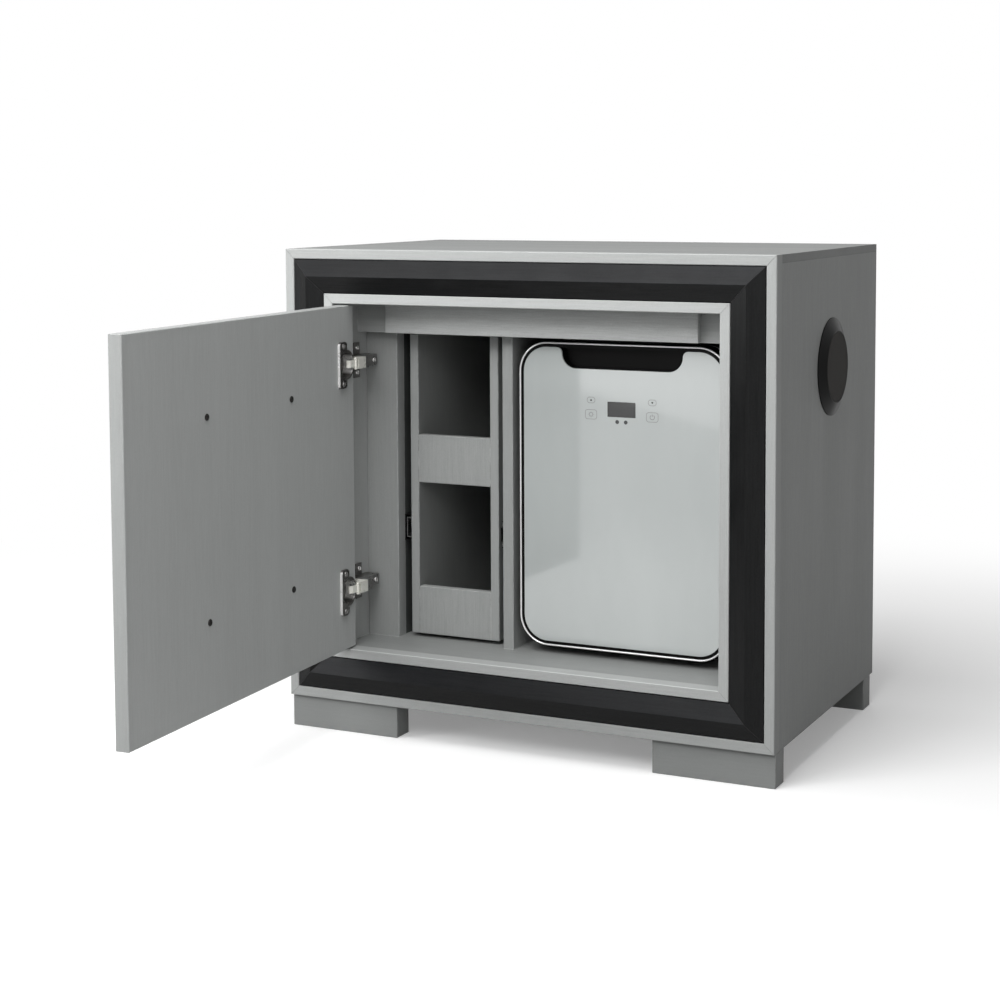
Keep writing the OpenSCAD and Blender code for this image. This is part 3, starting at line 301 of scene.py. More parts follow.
def wood_grain(t, where, upright):
    """Shade from 0 to 1, Height and slow Tone of the satin grain."""
    grain = t.group(satin_grain, Position=where, Upright=upright)
    return t.ramp(grain["Shade"], 0.26, 0.74), grain["Height"], grain["Tone"]


def streaked(t, shade, level, spread):
    """Silver that runs spread steps either way of a level."""
    return t.blend(shade, silver(level - spread), silver(level + spread))


def satin_lacquer(t, shader, colour, height, slow, rough, specular):
    """Sheen and bump of a lacquered board: its roughness wanders by 0.16 with the slow tone."""
    t.put(shader.inputs["Base Color"], colour)
    t.put(shader.inputs["Roughness"], t.math("ADD", rough, t.math("MULTIPLY", slow, 0.16)))
    shader.inputs["Specular IOR Level"].default_value = specular
    bump(t, shader, height, 0.08, 0.45)


def silver_board(name, node, level, upright, fold=(0, 0, 0), size=(0, 0, 0), spread=5.5, faces=None,
                 arris=48):
    """Silver-grey wood-grain finish for one board, or for a set that mirrors one board of the given
    size about the set's middle on the axes where fold is 1. Its level is painted light and shade. faces
    is an axis, a sign (0 for both) and the tone of the faces that look that way, a painted light or
    shade; arris is how much lighter the edges are, a painted highlight, or, when negative, how much
    darker, a painted shade along them. A band along the edges is a little darker."""
    low, high = box_mm(node)
    fold = np.array(fold, float)
    half = (high - low) / 2
    centre = np.where(fold > 0, (low + high) / 2, 0.0)
    low, high = np.where(fold > 0, half - size, low), np.where(fold > 0, half, high)
    material, t, shader, where = new_material(name)
    shade, height, slow = wood_grain(t, where, float(upright))
    edge_masks = t.group(board_edges, Position=where, Centre=metres(centre), Fold=tuple(fold), Low=metres(low),
                   High=metres(high), Width=0.9 * MM)
    colour = streaked(t, shade, level, spread)
    if faces is not None:
        axis, sign, face_level = faces
        along = t.normal()[axis]
        along = t.math("MULTIPLY", along, sign) if sign else t.math("ABSOLUTE", along)
        colour = t.blend(t.ramp(along, 0.5, 0.8), colour, streaked(t, shade, face_level, spread))
    colour = t.blend(t.math("MULTIPLY", edge_masks["Border"], 0.10), colour, silver(level - 34))
    # Painted highlight along the arrises, or painted shade along them where arris is negative.
    colour = t.blend(t.math("MULTIPLY", edge_masks["Edge"], 0.75 if arris > 0 else 0.5), colour,
                     silver(min(level + arris, 250)))
    film = t.group(dust, Position=where)["Film"]
    colour = t.blend(t.math("MULTIPLY", film, 0.03), colour, grey(205, 2.0))
    satin_lacquer(t, shader, colour, height, slow, 0.42, 0.22)
    return material


def rail_cut(t, where, node, rail):
    """What build_mitre gives for a node that is a rectangular frame of rails so many millimetres wide."""
    low, high = box_mm(node)
    return t.group(mitre, Position=where, Centre=metres((low + high) / 2), Half=metres((high - low) / 2),
                   Rail=rail * MM)


def frame_finish(name, node, level, side_level, spread=7.0):
    """Silver-grey finish for mitred rails, with the grain along each rail, a faint mitre line and a
    painted highlight along the rails' inner and outer borders. Faces that look sideways or up have the
    tone of the panels beside them, a painted shade against the front."""
    material, t, shader, where = new_material(name)
    cut = rail_cut(t, where, node, RAIL_W)
    shade, height, slow = wood_grain(t, where, cut["Upright"])
    colour = streaked(t, shade, level, spread)
    # Painted highlight along the rails' inner and outer borders.
    colour = t.blend(t.math("MULTIPLY", cut["Edge"], 0.5), colour, silver(min(level + 46, 250)))
    colour = t.blend(t.math("MULTIPLY", cut["Line"], 0.07), colour, silver(level - 70))
    # Painted shade: faces that do not look to the front take the side tone.
    front = t.ramp(t.math("ABSOLUTE", t.normal()[1]), 0.5, 0.8)
    colour = t.blend(front, streaked(t, shade, side_level, spread), colour)
    satin_lacquer(t, shader, colour, height, slow, 0.38, 0.25)
    return material


def black_moulding_finish(name, node):
    """Black stained and lacquered wood: fine grain along each rail in colour and sheen, a paler line
    along the mitres that is a painted highlight, a pale painted sheen on faces that look up, and
    painted shadow in the seams where it meets the silver rails."""
    material, t, shader, where = new_material(name)
    cut = rail_cut(t, where, node, MOULDING_W)
    shade, height, slow = wood_grain(t, where, cut["Upright"])
    skin = t.group(moulded_skin, Position=where, Grain=420.0)
    # Painted shadow in the seams along the rails' borders, where the moulding meets the silver rails.
    seam_shadow = t.ramp(cut["Edge"], 0.05, 0.55)
    colour = t.blend(shade, grey(9, -0.5), grey(28, -0.5))
    # Painted highlight: a paler line along the mitres.
    colour = t.blend(t.math("MULTIPLY", cut["Line"], 0.5), colour, grey(74))
    # Painted sheen: faces that look up are lifted towards a pale blue, a painted reflection.
    sheen = t.math("MULTIPLY", t.ramp(t.normal()[2], 0.15, 0.32), t.ramp(slow, 0.2, 0.8, 0.006, 0.016))
    colour = t.blend(sheen, colour, tone(170, 176, 190))
    t.put(shader.inputs["Base Color"], t.blend(seam_shadow, colour, grey(3)))
    mottle = t.ramp(skin["Mottle"], 0.3, 0.7)
    rough = t.math("ADD", t.mix(mottle, 0.33, 0.43), t.math("MULTIPLY", shade, 0.06))
    t.put(shader.inputs["Roughness"], t.mix(seam_shadow, rough, 0.95))
    shader.inputs["Specular IOR Level"].default_value = 0.12
    bump(t, shader, t.math("ADD", height, t.math("MULTIPLY", skin["Height"], 0.5)), 0.12, 0.6)
    return material


def moulded(name, level, rough, grain=1400.0, depth=0.06, spread=6.0, metallic=0.0, specular=0.5, dusty=0.08,
            vary=1.0, groove=None):
    """Moulded, painted or plated finish: colour mottled by a few steps, pebbled bump, thin dust. vary is how
    much the sheen wanders. A ring about an axis along X, given as y, z and two radii, can be blackened:
    painted shadow in the gap there."""
    material, t, shader, where = new_material(name)
    skin = t.group(moulded_skin, Position=where, Grain=grain)
    mottle = t.ramp(skin["Mottle"], 0.25, 0.75)
    colour = t.blend(mottle, grey(level - spread), grey(level + spread))
    colour = t.blend(t.math("MULTIPLY", t.group(dust, Position=where)["Film"], dusty), colour, grey(190, 3.0))
    # Painted shadow: a black ring at the given radii.
    if groove is not None:
        y, z, inner, outer = (v * MM for v in groove)
        radius = t.length(t.vmath("MULTIPLY", t.vmath("SUBTRACT", where, (0.0, y, z)), (0.0, 1.0, 1.0)))
        ring = t.math("MULTIPLY", t.ramp(radius, inner - 0.2 * MM, inner),
                      t.ramp(radius, outer, outer + 0.2 * MM, 1.0, 0.0))
        colour = t.blend(ring, colour, grey(0))
    t.put(shader.inputs["Base Color"], colour)
    t.put(shader.inputs["Roughness"], t.mix(mottle, rough - 0.05 * vary, rough + 0.07 * vary))
    shader.inputs["Metallic"].default_value = metallic
    shader.inputs["Specular IOR Level"].default_value = specular
    bump(t, shader, skin["Height"], depth, 0.6)
    return material


def rigid_foam(name):
    """Yellowish insulation with a coarse, matt skin."""
    material, t, shader, where = new_material(name)
    skin = t.group(moulded_skin, Position=where, Grain=260.0)
    mottle = t.ramp(skin["Mottle"], 0.25, 0.75)
    t.put(shader.inputs["Base Color"], t.blend(mottle, (0.55, 0.42, 0.18, 1.0), (0.70, 0.56, 0.28, 1.0)))
    t.put(shader.inputs["Roughness"], t.mix(mottle, 0.80, 0.91))
    bump(t, shader, skin["Height"], 0.6, 0.6)
    return material


def brushed(name, level, rough, along, warm=1.0, spread=10.0):
    """Brushed or drawn metal: hairlines are noise of 30 cycles per metre times along, axis by axis."""
    material, t, shader, where = new_material(name)
    lines = t.streaks(where, tuple(30.0 * a for a in along), 3.0, 0.6)
    smudge = t.noise(where, 60.0, 3.0, 0.6)
    shade = t.ramp(lines, 0.3, 0.7)
    t.put(shader.inputs["Base Color"], t.blend(shade, grey(level - spread, warm), grey(level + spread, warm)))
    t.put(shader.inputs["Roughness"],
          t.math("ADD", t.mix(shade, rough - 0.06, rough + 0.06), t.math("MULTIPLY", smudge, 0.08)))
    shader.inputs["Metallic"].default_value = 1.0
    bump(t, shader, lines, 0.03, 0.5)
    return material


def nickel_flange(name, face, rim):
    """Nickel plate with painted light: as its normal turns to the front, the tone goes from that of the
    face, painted dark as a painted reflection of the dark cabinet, to that of the rim, a painted
    highlight, under fine hairlines."""
    material, t, shader, where = new_material(name)
    lines = t.streaks(where, (900.0, 900.0, 60.0), 3.0, 0.6)
    smudge = t.ramp(t.noise(where, 70.0, 3.0, 0.6), 0.3, 0.7)
    bright = t.ramp(t.math("MULTIPLY", t.normal()[1], -1.0), 0.6, 0.9)
    # Painted dark reflection on the face, painted highlight on the front-facing rim.
    painted_dark_face = t.blend(lines, grey(face - 12, 2.0), grey(face + 12, 2.0))
    painted_rim_highlight = t.blend(smudge, grey(rim - 6, 1.0), grey(rim, 1.0))
    t.put(shader.inputs["Base Color"], t.blend(bright, painted_dark_face, painted_rim_highlight))
    t.put(shader.inputs["Roughness"], t.mix(smudge, 0.24, 0.34))
    t.put(shader.inputs["Metallic"], t.mix(bright, 0.75, 0.25))
    bump(t, shader, lines, 0.02, 0.5)
    return material


def arm_nickel(name, depth):
    """Nickel of the arm: its front painted a pale ivory, a painted highlight, and its tail behind the
    given depth painted a darker steel, a painted shade.
    """
    material, t, shader, where = new_material(name)
    # Painted light on the pale front; painted shade on the darker tail behind the depth.
    tail = t.ramp(t.split(where)[1], (depth - 0.8) * MM, (depth + 0.8) * MM)
    mottle = t.ramp(t.noise(where, 120.0, 3.0, 0.6), 0.3, 0.7)
    front = t.blend(mottle, tone(246, 245, 236), tone(252, 251, 243))
    t.put(shader.inputs["Base Color"], t.blend(tail, front, t.blend(mottle, grey(122, 1.0), grey(140, 1.0))))
    t.put(shader.inputs["Roughness"], t.mix(mottle, 0.26, 0.36))
    t.put(shader.inputs["Metallic"], t.mix(tail, 0.1, 0.8))
    bump(t, shader, mottle, 0.02, 0.4)
    return material


def clear_plastic(name, tint):
    """Clear moulded plastic with faint flow lines in its colour and roughness."""
    material, t, shader, where = new_material(name)
    flow = t.ramp(t.streaks(where, (8.0, 60.0, 60.0), 2.0, 0.5), 0.3, 0.7)
    t.put(shader.inputs["Base Color"], t.blend(flow, tint, (0.95, 0.98, 0.99, 1.0)))
    t.put(shader.inputs["Roughness"], t.mix(flow, 0.04, 0.12))
    shader.inputs["Transmission Weight"].default_value = 0.92
    shader.inputs["IOR"].default_value = 1.49
    return material


def white_glass(name):
    """Glass painted a cool white behind: a clean bright face under a clear coat, with smears that are
    barely there."""
    material, t, shader, where = new_material(name)
    smear = t.ramp(t.streaks(where, (9.0, 20.0, 3.0), 4.0, 0.6), 0.35, 0.75)
    t.put(shader.inputs["Base Color"], t.blend(smear, tone(187, 192, 191), tone(192, 197, 196)))
    t.put(shader.inputs["Roughness"], t.mix(smear, 0.07, 0.12))
    shader.inputs["Coat Weight"].default_value = 1.0
    shader.inputs["Coat Roughness"].default_value = 0.05
    return material


def display_finish(name):
    """Smoked window: a dark border round a slightly lighter panel of 32 x 14.6 mm with fine rows. The two
    lamps under the window, more than 10 mm below its middle, are lighter."""
    low, high = box_mm("fridge_display")
    material, t, shader, where = new_material(name)
    middle = metres(((low[0] + high[0]) / 2, 0, high[2] - DISPLAY_H / 2))
    across, _, below = t.split(t.vmath("ABSOLUTE", t.vmath("SUBTRACT", where, middle)))
    panel = t.math("MULTIPLY", t.ramp(across, 16.0 * MM, 16.6 * MM, 1.0, 0.0),
                   t.ramp(below, 7.3 * MM, 7.9 * MM, 1.0, 0.0))
    rows = t.add("ShaderNodeTexWave", {"Vector": where, "Scale": 260.0}, wave_type="BANDS",
                 bands_direction="Z").outputs[1]
    colour = t.blend(panel, grey(16, -1.0), t.blend(rows, grey(30, -1.0), grey(38, -1.0)))
    colour = t.blend(t.ramp(below, 10.0 * MM, 10.5 * MM), colour, grey(52, -1.0))
    t.put(shader.inputs["Base Color"], colour)
    t.put(shader.inputs["Roughness"], t.mix(rows, 0.10, 0.16))
    shader.inputs["Coat Weight"].default_value = 0.6
    return material


def speaker_cloth(name, pitch=0.9):
    """Tight woven cloth: threads in Y and Z are rounded ridges |sin|, and a chequerboard says which of
    the two lies on top: it is the fraction of half the cell number, which 4000 keeps positive. The tone
    changes a little from place to place."""
    material, t, shader, where = new_material(name)
    _, y, z = t.split(where)
    u = t.math("DIVIDE", y, pitch * MM)
    v = t.math("DIVIDE", z, pitch * MM)
    ridge_u = t.math("ABSOLUTE", t.math("SINE", t.math("MULTIPLY", u, math.pi)))
    ridge_v = t.math("ABSOLUTE", t.math("SINE", t.math("MULTIPLY", v, math.pi)))
    cells = t.math("ADD", t.math("FLOOR", u), t.math("FLOOR", v))
    over = t.math("MULTIPLY", t.math("FRACT", t.math("MULTIPLY", t.math("ADD", cells, 4000.0), 0.5)), 2.0)
    weave = t.mix(over, ridge_u, ridge_v)
    mottle = t.noise(where, 260.0, 3.0, 0.6)
    shade = t.math("MULTIPLY", t.ramp(weave, 0.0, 0.9, 0.55, 1.0), t.ramp(mottle, 0.2, 0.8, 0.8, 1.0))
    t.put(shader.inputs["Base Color"], t.blend(shade, tone(16, 16, 15), tone(52, 50, 48)))
    t.put(shader.inputs["Roughness"], t.mix(weave, 0.9, 0.72))
    shader.inputs["Specular IOR Level"].default_value = 0.12
    bump(t, shader, weave, 0.2, 0.5)
    return material


def circuit_finish(name):
    """Green board: copper tracks are the crests of a distorted wave under solder resist."""
    material, t, shader, where = new_material(name)
    wave = t.add("ShaderNodeTexWave", {"Vector": where, "Scale": 110.0, "Distortion": 6.0, "Detail": 0.0},
                 bands_direction="X").outputs[1]
    tracks = t.ramp(wave, 0.86, 0.94)
    speck = t.noise(where, 700.0, 2.0, 0.5)
    green = t.blend(speck, (0.010, 0.10, 0.035, 1.0), (0.018, 0.15, 0.055, 1.0))
    t.put(shader.inputs["Base Color"], t.blend(tracks, green, (0.05, 0.24, 0.10, 1.0)))
    shader.inputs["Roughness"].default_value = 0.32
    bump(t, shader, tracks, 0.05, 0.6)
    return material


def hardboard(name, level):
    """Back panel: fine pressed fibres and slow clouds, matt."""
    material, t, shader, where = new_material(name)
    fibres = t.streaks(where, (300.0, 300.0, 60.0), 4.0, 0.7)
    cloud = t.noise(where, 9.0, 4.0, 0.6)
    shade = t.ramp(t.math("ADD", t.math("MULTIPLY", fibres, 0.6), t.math("MULTIPLY", cloud, 0.4)), 0.3, 0.7)
    t.put(shader.inputs["Base Color"], t.blend(shade, grey(level - 9, 1.0), grey(level + 9, 1.0)))
    t.put(shader.inputs["Roughness"], t.mix(shade, 0.62, 0.78))
    bump(t, shader, fibres, 0.1, 0.6)
    return material


# ---------------------------------------------------------------- materials of the nodes

def dress(node, material):
    """Gives a node's object one material in every slot."""
    data = nodes[node].data
    if not data.materials:
        data.materials.append(material)
    for index in range(len(data.materials)):
        data.materials[index] = material


# The middle grey of the boards, and sizes and places of the CAD in millimetres.
SILVER = 172
RAIL_W, MOULDING_W = 12.5, 44.0
DISPLAY_H = 19.0
# Depth in millimetres where the arm's painted highlight gives way to painted shade.
ARM_LIGHT_SPLIT_Y = 74.0

# Painted light and shade: each board's level and face tone stands for how light falls on one shared finish.
for board, upright, level, spread, extra in (
        ("top_panel", 0, 116, 7.0, {"arris": -30}),
        ("left_side_panel", 1, 142, 9.0, {"arris": -26}),
        ("right_side_panel", 1, 142, 9.0, {"arris": -26}),
        ("bottom_panel", 0, 142, 6.0, {}),
        ("deck_panel", 0, 145, 6.0, {}),
        ("hinge_wall", 1, 178, 5.5, {}),
        ("filler_panel", 1, 167, 6.0, {}),
        ("slide_wall", 1, 165, 6.0, {"faces": (0, 1, 86)}),
        ("right_inner_wall", 1, 172, 6.0, {}),
        ("divider", 1, 166, 6.0, {}),
        ("apron_rail", 0, 188, 15.0, {}),
        ("apron_backer", 0, 172, 8.0, {}),
        ("door_panel", 1, 161, 6.5, {"faces": (0, 1, 188)}),
        ("rack_back", 1, 122, 6.0, {}),
        ("feet", 0, SILVER - 30, 2.5, {"fold": (1, 1, 0), "size": (155, 31, 0)}),
        ("rack_sides", 1, SILVER, 5.5, {"fold": (1, 0, 0), "size": (12, 0, 0), "faces": (0, 0, 146)}),
        ("rack_rails", 1, SILVER, 11.0, {"fold": (0, 0, 1), "size": (0, 0, 63)}),
        ("rack_shelves", 0, SILVER - 30, 5.5, {"fold": (0, 0, 1), "size": (0, 0, 9)})):
    dress(board, silver_board(board + "_finish", board, level, upright, spread=spread, **extra))

# Painted light and shade: the rails' front and side levels, on the same finish.
dress("rim_rails", frame_finish("rim_rails_finish", "rim_rails", SILVER - 3, SILVER - 30))
dress("inner_rails", frame_finish("inner_rails_finish", "inner_rails", SILVER + 8, SILVER))
dress("moulding_lengths", black_moulding_finish("black_moulding_finish", "moulding_lengths"))
dress("back_panel", hardboard("back_board_finish", 62))

dress("hinge_cups", nickel_flange("cup_finish", 104, 250))
dress("hinge_plates", brushed("plate_finish", 128, 0.30, (1.0, 14.0, 14.0), 2.0, 7.0))
arm_painted_light = arm_nickel("arm_finish", ARM_LIGHT_SPLIT_Y)
dress("hinge_arms", arm_painted_light)
dress("hinge_links", arm_painted_light)
dress("door_handles", brushed("handle_finish", 176, 0.30, (1.0, 40.0, 40.0)))
# Painted shade: the zinc of the outer slide members is painted dark.
shaded_zinc = brushed("zinc_slide_painted_shade", 54, 0.36, (30.0, 1.0, 30.0), 0.5)
dress("slide_cabinet_members", shaded_zinc)
dress("slide_rack_members", shaded_zinc)
dress("slide_middle_members", brushed("bright_slide_finish", 168, 0.28, (30.0, 1.0, 30.0), 0.5))

ring_low, ring_high = box_mm("speaker_rings")
ring_y, ring_z = (ring_low[1:] + ring_high[1:]) / 2
dress("speaker_grilles", speaker_cloth("speaker_cloth_finish"))

for node, name, level, rough, extra in (
        ("door_catch", "catch_finish", 226, 0.42, {"spread": 3.0}),
        # The speaker trim's black ring at radii 44 to 46 is painted shadow.
        ("speaker_rings", "speaker_trim_finish", 9, 0.36,
         {"grain": 700.0, "depth": 0.03, "spread": 2.0, "specular": 0.05, "dusty": 0.0,
          "groove": (ring_y, ring_z, 44.0, 46.0)}),
        ("speaker_drivers", "driver_finish", 34, 0.55, {}),
        ("fridge_shell", "shell_finish", 26, 0.44, {"grain": 1600.0, "spread": 3.0, "specular": 0.25}),
        ("fridge_liner", "liner_finish", 234, 0.26,
         {"grain": 300.0, "depth": 0.02, "spread": 1.0, "dusty": 0.0, "vary": 0.15}),
        ("fan_cover", "fan_cover_finish", 230, 0.30,
         {"grain": 500.0, "depth": 0.03, "spread": 1.5, "dusty": 0.0, "vary": 0.2}),
        ("fridge_door_liner", "door_liner_finish", 234, 0.28,
         {"grain": 300.0, "depth": 0.02, "spread": 1.0, "dusty": 0.0, "vary": 0.15}),
        ("peltier_module", "ceramic_finish", 226, 0.55, {"spread": 4.0}),
        ("inner_fan_frame", "inner_fan_frame_finish", 30, 0.42, {"spread": 3.0}),
        ("outer_fan_frame", "outer_fan_frame_finish", 30, 0.42, {"spread": 3.0}),
        ("inner_fan_rotor", "inner_fan_finish", 36, 0.38, {"grain": 600.0, "depth": 0.05, "spread": 4.0}),
        ("outer_fan_rotor", "outer_fan_finish", 36, 0.38, {"grain": 600.0, "depth": 0.05, "spread": 4.0}),
        ("rear_cover", "rear_cover_finish", 36, 0.52, {"grain": 1900.0, "depth": 0.12, "spread": 4.0}),
        ("power_inlet", "inlet_finish", 22, 0.40, {"spread": 3.0}),
        ("fridge_feet", "fridge_foot_finish", 26, 0.70, {"grain": 1200.0, "depth": 0.1, "spread": 4.0}),
        ("fridge_door_shell", "door_shell_finish", 7, 0.42,
         {"grain": 900.0, "depth": 0.03, "spread": 2.0, "specular": 0.08, "dusty": 0.0}),
        ("fridge_gasket", "gasket_finish", 92, 0.62, {"grain": 800.0, "spread": 5.0})):
    dress(node, moulded(name, level, rough, **extra))

dress("fridge_foam", rigid_foam("foam_finish"))
dress("fridge_shelf", clear_plastic("shelf_finish", (0.86, 0.94, 0.96, 1.0)))
dress("fridge_door_bins", clear_plastic("bin_finish", (0.86, 0.93, 0.96, 1.0)))
aluminium = brushed("aluminium_finish", 186, 0.34, (20.0, 1.0, 20.0), 0.0)
dress("cold_sink", aluminium)
dress("heat_sink", aluminium)
dress("fridge_hinge_brackets", brushed("bracket_finish", 120, 0.34, (1.0, 20.0, 20.0), 0.0))
dress("fridge_glass", white_glass("glass_finish"))
dress("fridge_display", display_finish("display_finish"))
dress("control_board", circuit_finish("circuit_finish"))


# ---------------------------------------------------------------- pieces made here

def new_object(name, points, faces, material, smooth=False):
    """An object of one material from lists of points in metres and faces."""
    mesh = bpy.data.meshes.new(name)
    mesh.from_pydata(points, [], faces)
    mesh.polygons.foreach_set("use_smooth", np.full(len(mesh.polygons), smooth))
    mesh.validate()
    mesh.materials.append(material)
    made = bpy.data.objects.new(name, mesh)
    scene.collection.objects.link(made)
    return made


def make_piece(name, part, material, body, smooth=False):
    """A piece from (points, faces) in millimetres, riding on a body."""
    points, faces = part
    piece = new_object(name, (np.asarray(points) * MM).tolist(), [list(map(int, f)) for f in faces], material,
                       smooth)
    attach(piece, body)
    return piece


def merged(parts):
    """Joins (points, faces) pairs into one."""
    points, faces, start = [], [], 0
    for p, f in parts:
        points.append(p)
        faces += [[v + start for v in face] for face in f]
        start += len(p)
    return np.concatenate(points), faces


def placed(part, x, y, z):
    """Moves a (points, faces) pair."""
    return part[0] + np.array([x, y, z]), part[1]


def ribbon(path, width, closed):
    """Rows of points either side of a flat path (N x 2): each point moved by half the width along the
    normal, which is the turned difference of its neighbours. Returns inner and outer rows."""
    path = np.asarray(path, float)
    if closed:
        step = np.roll(path, -1, 0) - np.roll(path, 1, 0)
    else:
        step = np.gradient(path, axis=0)
    step /= np.linalg.norm(step, axis=1, keepdims=True)
    normal = np.stack([-step[:, 1], step[:, 0]], 1) * width / 2
    return path + normal, path - normal


def printed_line(path, width, closed=True):
    """A raised line of ink: the ribbon's two rows on the glass and two rows lifted off it, joined by
    quads round its section, with caps at open ends. Returns points (x, y, z) and faces."""
    a, b = ribbon(path, width, closed)
    n = len(a)
    points = np.concatenate([np.column_stack([row[:, 0], np.full(n, y), row[:, 1]])
                             for row, y in ((a, 0.0), (b, 0.0), (b, -INK_LIFT), (a, -INK_LIFT))])
    i = np.arange(n if closed else n - 1)
    j = (i + 1) % n
    faces = []
    for r, s in ((0, 1), (1, 2), (2, 3), (3, 0)):
        faces += np.column_stack([r * n + i, r * n + j, s * n + j, s * n + i]).tolist()
    if not closed:
        faces += [[0, n, 2 * n, 3 * n], [4 * n - 1, 3 * n - 1, 2 * n - 1, n - 1]]
    return points, faces


def corner_turns(width, height, radius, per_corner):
    """Centres (N x 2) and angles (N) of the points of a rounded rectangle: a quarter turn about the
    centre of each corner in turn."""
    turn = np.linspace(0, np.pi / 2, per_corner)
    centres = [np.tile([sx * (width / 2 - radius), sz * (height / 2 - radius)], (per_corner, 1))
               for sx, sz in ((1, 1), (-1, 1), (-1, -1), (1, -1))]
    return np.concatenate(centres), np.concatenate([turn + k * np.pi / 2 for k in range(4)])


def rounded_rectangle(width, height, radius, per_corner=10):
    """Closed path: centre + radius (cos, sin) over the corners' turns."""
    centre, angle = corner_turns(width, height, radius, per_corner)
    return centre + radius * np.stack([np.cos(angle), np.sin(angle)], 1)


def swept_ring(width, height, radius, section, per_corner=16):
    """A closed trim: the section's rows (across, depth) are carried round a rounded rectangle. At each
    path point the across value goes along the outward normal (cos, sin) of its corner's angle."""
    centre, angle = corner_turns(width, height, radius, per_corner)
    section = np.asarray(section, float)
    reach = radius + section[None, :, 0]
    x = centre[:, 0:1] + reach * np.cos(angle)[:, None]
    z = centre[:, 1:2] + reach * np.sin(angle)[:, None]
    y = np.broadcast_to(section[None, :, 1], x.shape)
    n, m = x.shape
    i, j = np.meshgrid(np.arange(n), np.arange(m), indexing="ij")
    after_i, after_j = (i + 1) % n, (j + 1) % m
    faces = np.stack([i * m + j, after_i * m + j, after_i * m + after_j, i * m + after_j], -1).reshape(-1, 4)
    return np.stack([x, y, z], -1).reshape(-1, 3), faces.tolist()


def cross_screw(head_r, head_h, shank_r, shank, start, facing, turn):
    """A pan-head screw with a cross recess, as one surface of revolution. Its profile runs from the tip
    up the shank, out under the head and over its rounded rim. On top, the crown's height
    head_h * (1 - 0.12 (r / R)^2) is lowered by 0.62 head_h where min(|u|, |v|) < 0.17 head_r and
    r < 0.62 head_r, with walls that slope a little."""
    shoulder = 0.88 * head_h
    round_r = 0.6 * head_h
    rim = np.linspace(0, np.pi / 2, 7)
    profile = [(0.0, -shank), (shank_r * 0.5, -shank + 0.6), (shank_r, -shank + 1.8), (shank_r, 0.0),
               (head_r - 0.15, 0.0), (head_r, 0.15)]
    profile += [(head_r - round_r * (1 - math.cos(a)), shoulder - round_r * (1 - math.sin(a))) for a in rim]
    edge_r = profile[-1][0]
    inner = np.linspace(edge_r, 0.0, 22)[1:]
    radii = np.concatenate([[p[0] for p in profile], inner])
    heights = np.concatenate([[p[1] for p in profile], np.full(len(inner), shoulder)])
    crown = np.arange(len(radii)) >= len(profile) - 1
    count = 56
    angle = np.linspace(0, 2 * np.pi, count, endpoint=False) + turn
    r, a = np.meshgrid(radii, angle, indexing="ij")
    u, v = r * np.cos(a - turn), r * np.sin(a - turn)
    top = head_h * (0.88 + 0.12 * (1 - (r / edge_r) ** 2))
    wall = np.clip((0.17 * head_r - np.minimum(np.abs(u), np.abs(v))) / (0.05 * head_r), 0, 1)
    end = np.clip((0.62 * head_r - r) / (0.06 * head_r), 0, 1)
    h = np.where(crown[:, None], top - 0.62 * head_h * wall * end, heights[:, None])
    facing = np.array(facing, float)
    side = np.cross(facing, (0.0, 0.0, 1.0))
    up = np.cross(side, facing)
    x, y = r * np.cos(a), r * np.sin(a)
    points = np.array(start, float) + h[..., None] * facing + x[..., None] * side + y[..., None] * up
    i, j = np.meshgrid(np.arange(len(radii) - 1), np.arange(count), indexing="ij")
    after = (j + 1) % count
    faces = np.stack([i * count + j, (i + 1) * count + j, (i + 1) * count + after, i * count + after], -1)
    return points.reshape(-1, 3), faces.reshape(-1, 4).tolist()


def arc(radius, start, end, count=40):
    """Open path along a circle, angles in degrees."""
    angle = np.radians(np.linspace(start, end, count))
    return np.column_stack([radius * np.cos(angle), radius * np.sin(angle)])


# The bezel: a ring with a crowned front and a flat back.
BEZEL_W, BEZEL_CROWN, BEZEL_CORNER = 2.4, 1.3, 38.0
bezel_low, bezel_high = box_mm("fridge_bezel")
bezel_size, bezel_middle = bezel_high - bezel_low, (bezel_low + bezel_high) / 2
bezel_section = [(0.0, bezel_size[1])] + [
    (BEZEL_W / 2 * (math.cos(a) - 1), BEZEL_CROWN * (1 - math.sin(a))) for a in np.linspace(0, np.pi, 13)] + [
    (-BEZEL_W, bezel_size[1])]
bezel_ring = placed(swept_ring(bezel_size[0], bezel_size[2], BEZEL_CORNER, bezel_section),
                    bezel_middle[0], bezel_low[1], bezel_middle[2])
bright_trim = moulded("bezel_finish", 236, 0.14, grain=200.0, depth=0.01, spread=2.0, metallic=0.35,
                      dusty=0.0)
bezel_trim = make_piece("bezel_trim", bezel_ring, bright_trim, "fridge_door", True)
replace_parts(bezel_trim, "fridge_bezel")

# The screws, in millimetres. Depths count from the front plane, the door's as it is when shut.
HINGE_AXIS = (-251.5, 7.5)
DOOR_OPEN = math.radians(87)
DOOR_BACK = 20.0
DOOR_MIDDLE_Z = 333.5
HANDLE_X, HANDLE_Z = 96, 116
HINGE_Z = (188.0, 479.0)
CUP_SCREW_X, CUP_FLANGE, CUP_SCREW_RISE = -226.0, 3.2, 24
# Head radius, head height, shank radius and, but for the base plates, length.
HANDLE_SCREW, CUP_SCREW, PLATE_SCREW = (4.0, 1.6, 2.0, 31.0), (3.6, 1.6, 1.8, 13.2), (3.6, 2.0, 1.8)
# X, depth, height over the hinge's middle, and length of the screws of one base plate.
PLATE_SCREWS = ((-258.5, 57, -16, 2.5), (-258.5, 57, 16, 2.5), (-242.0, 54, 0, 19.0), (-242.0, 72, 0, 19.0))


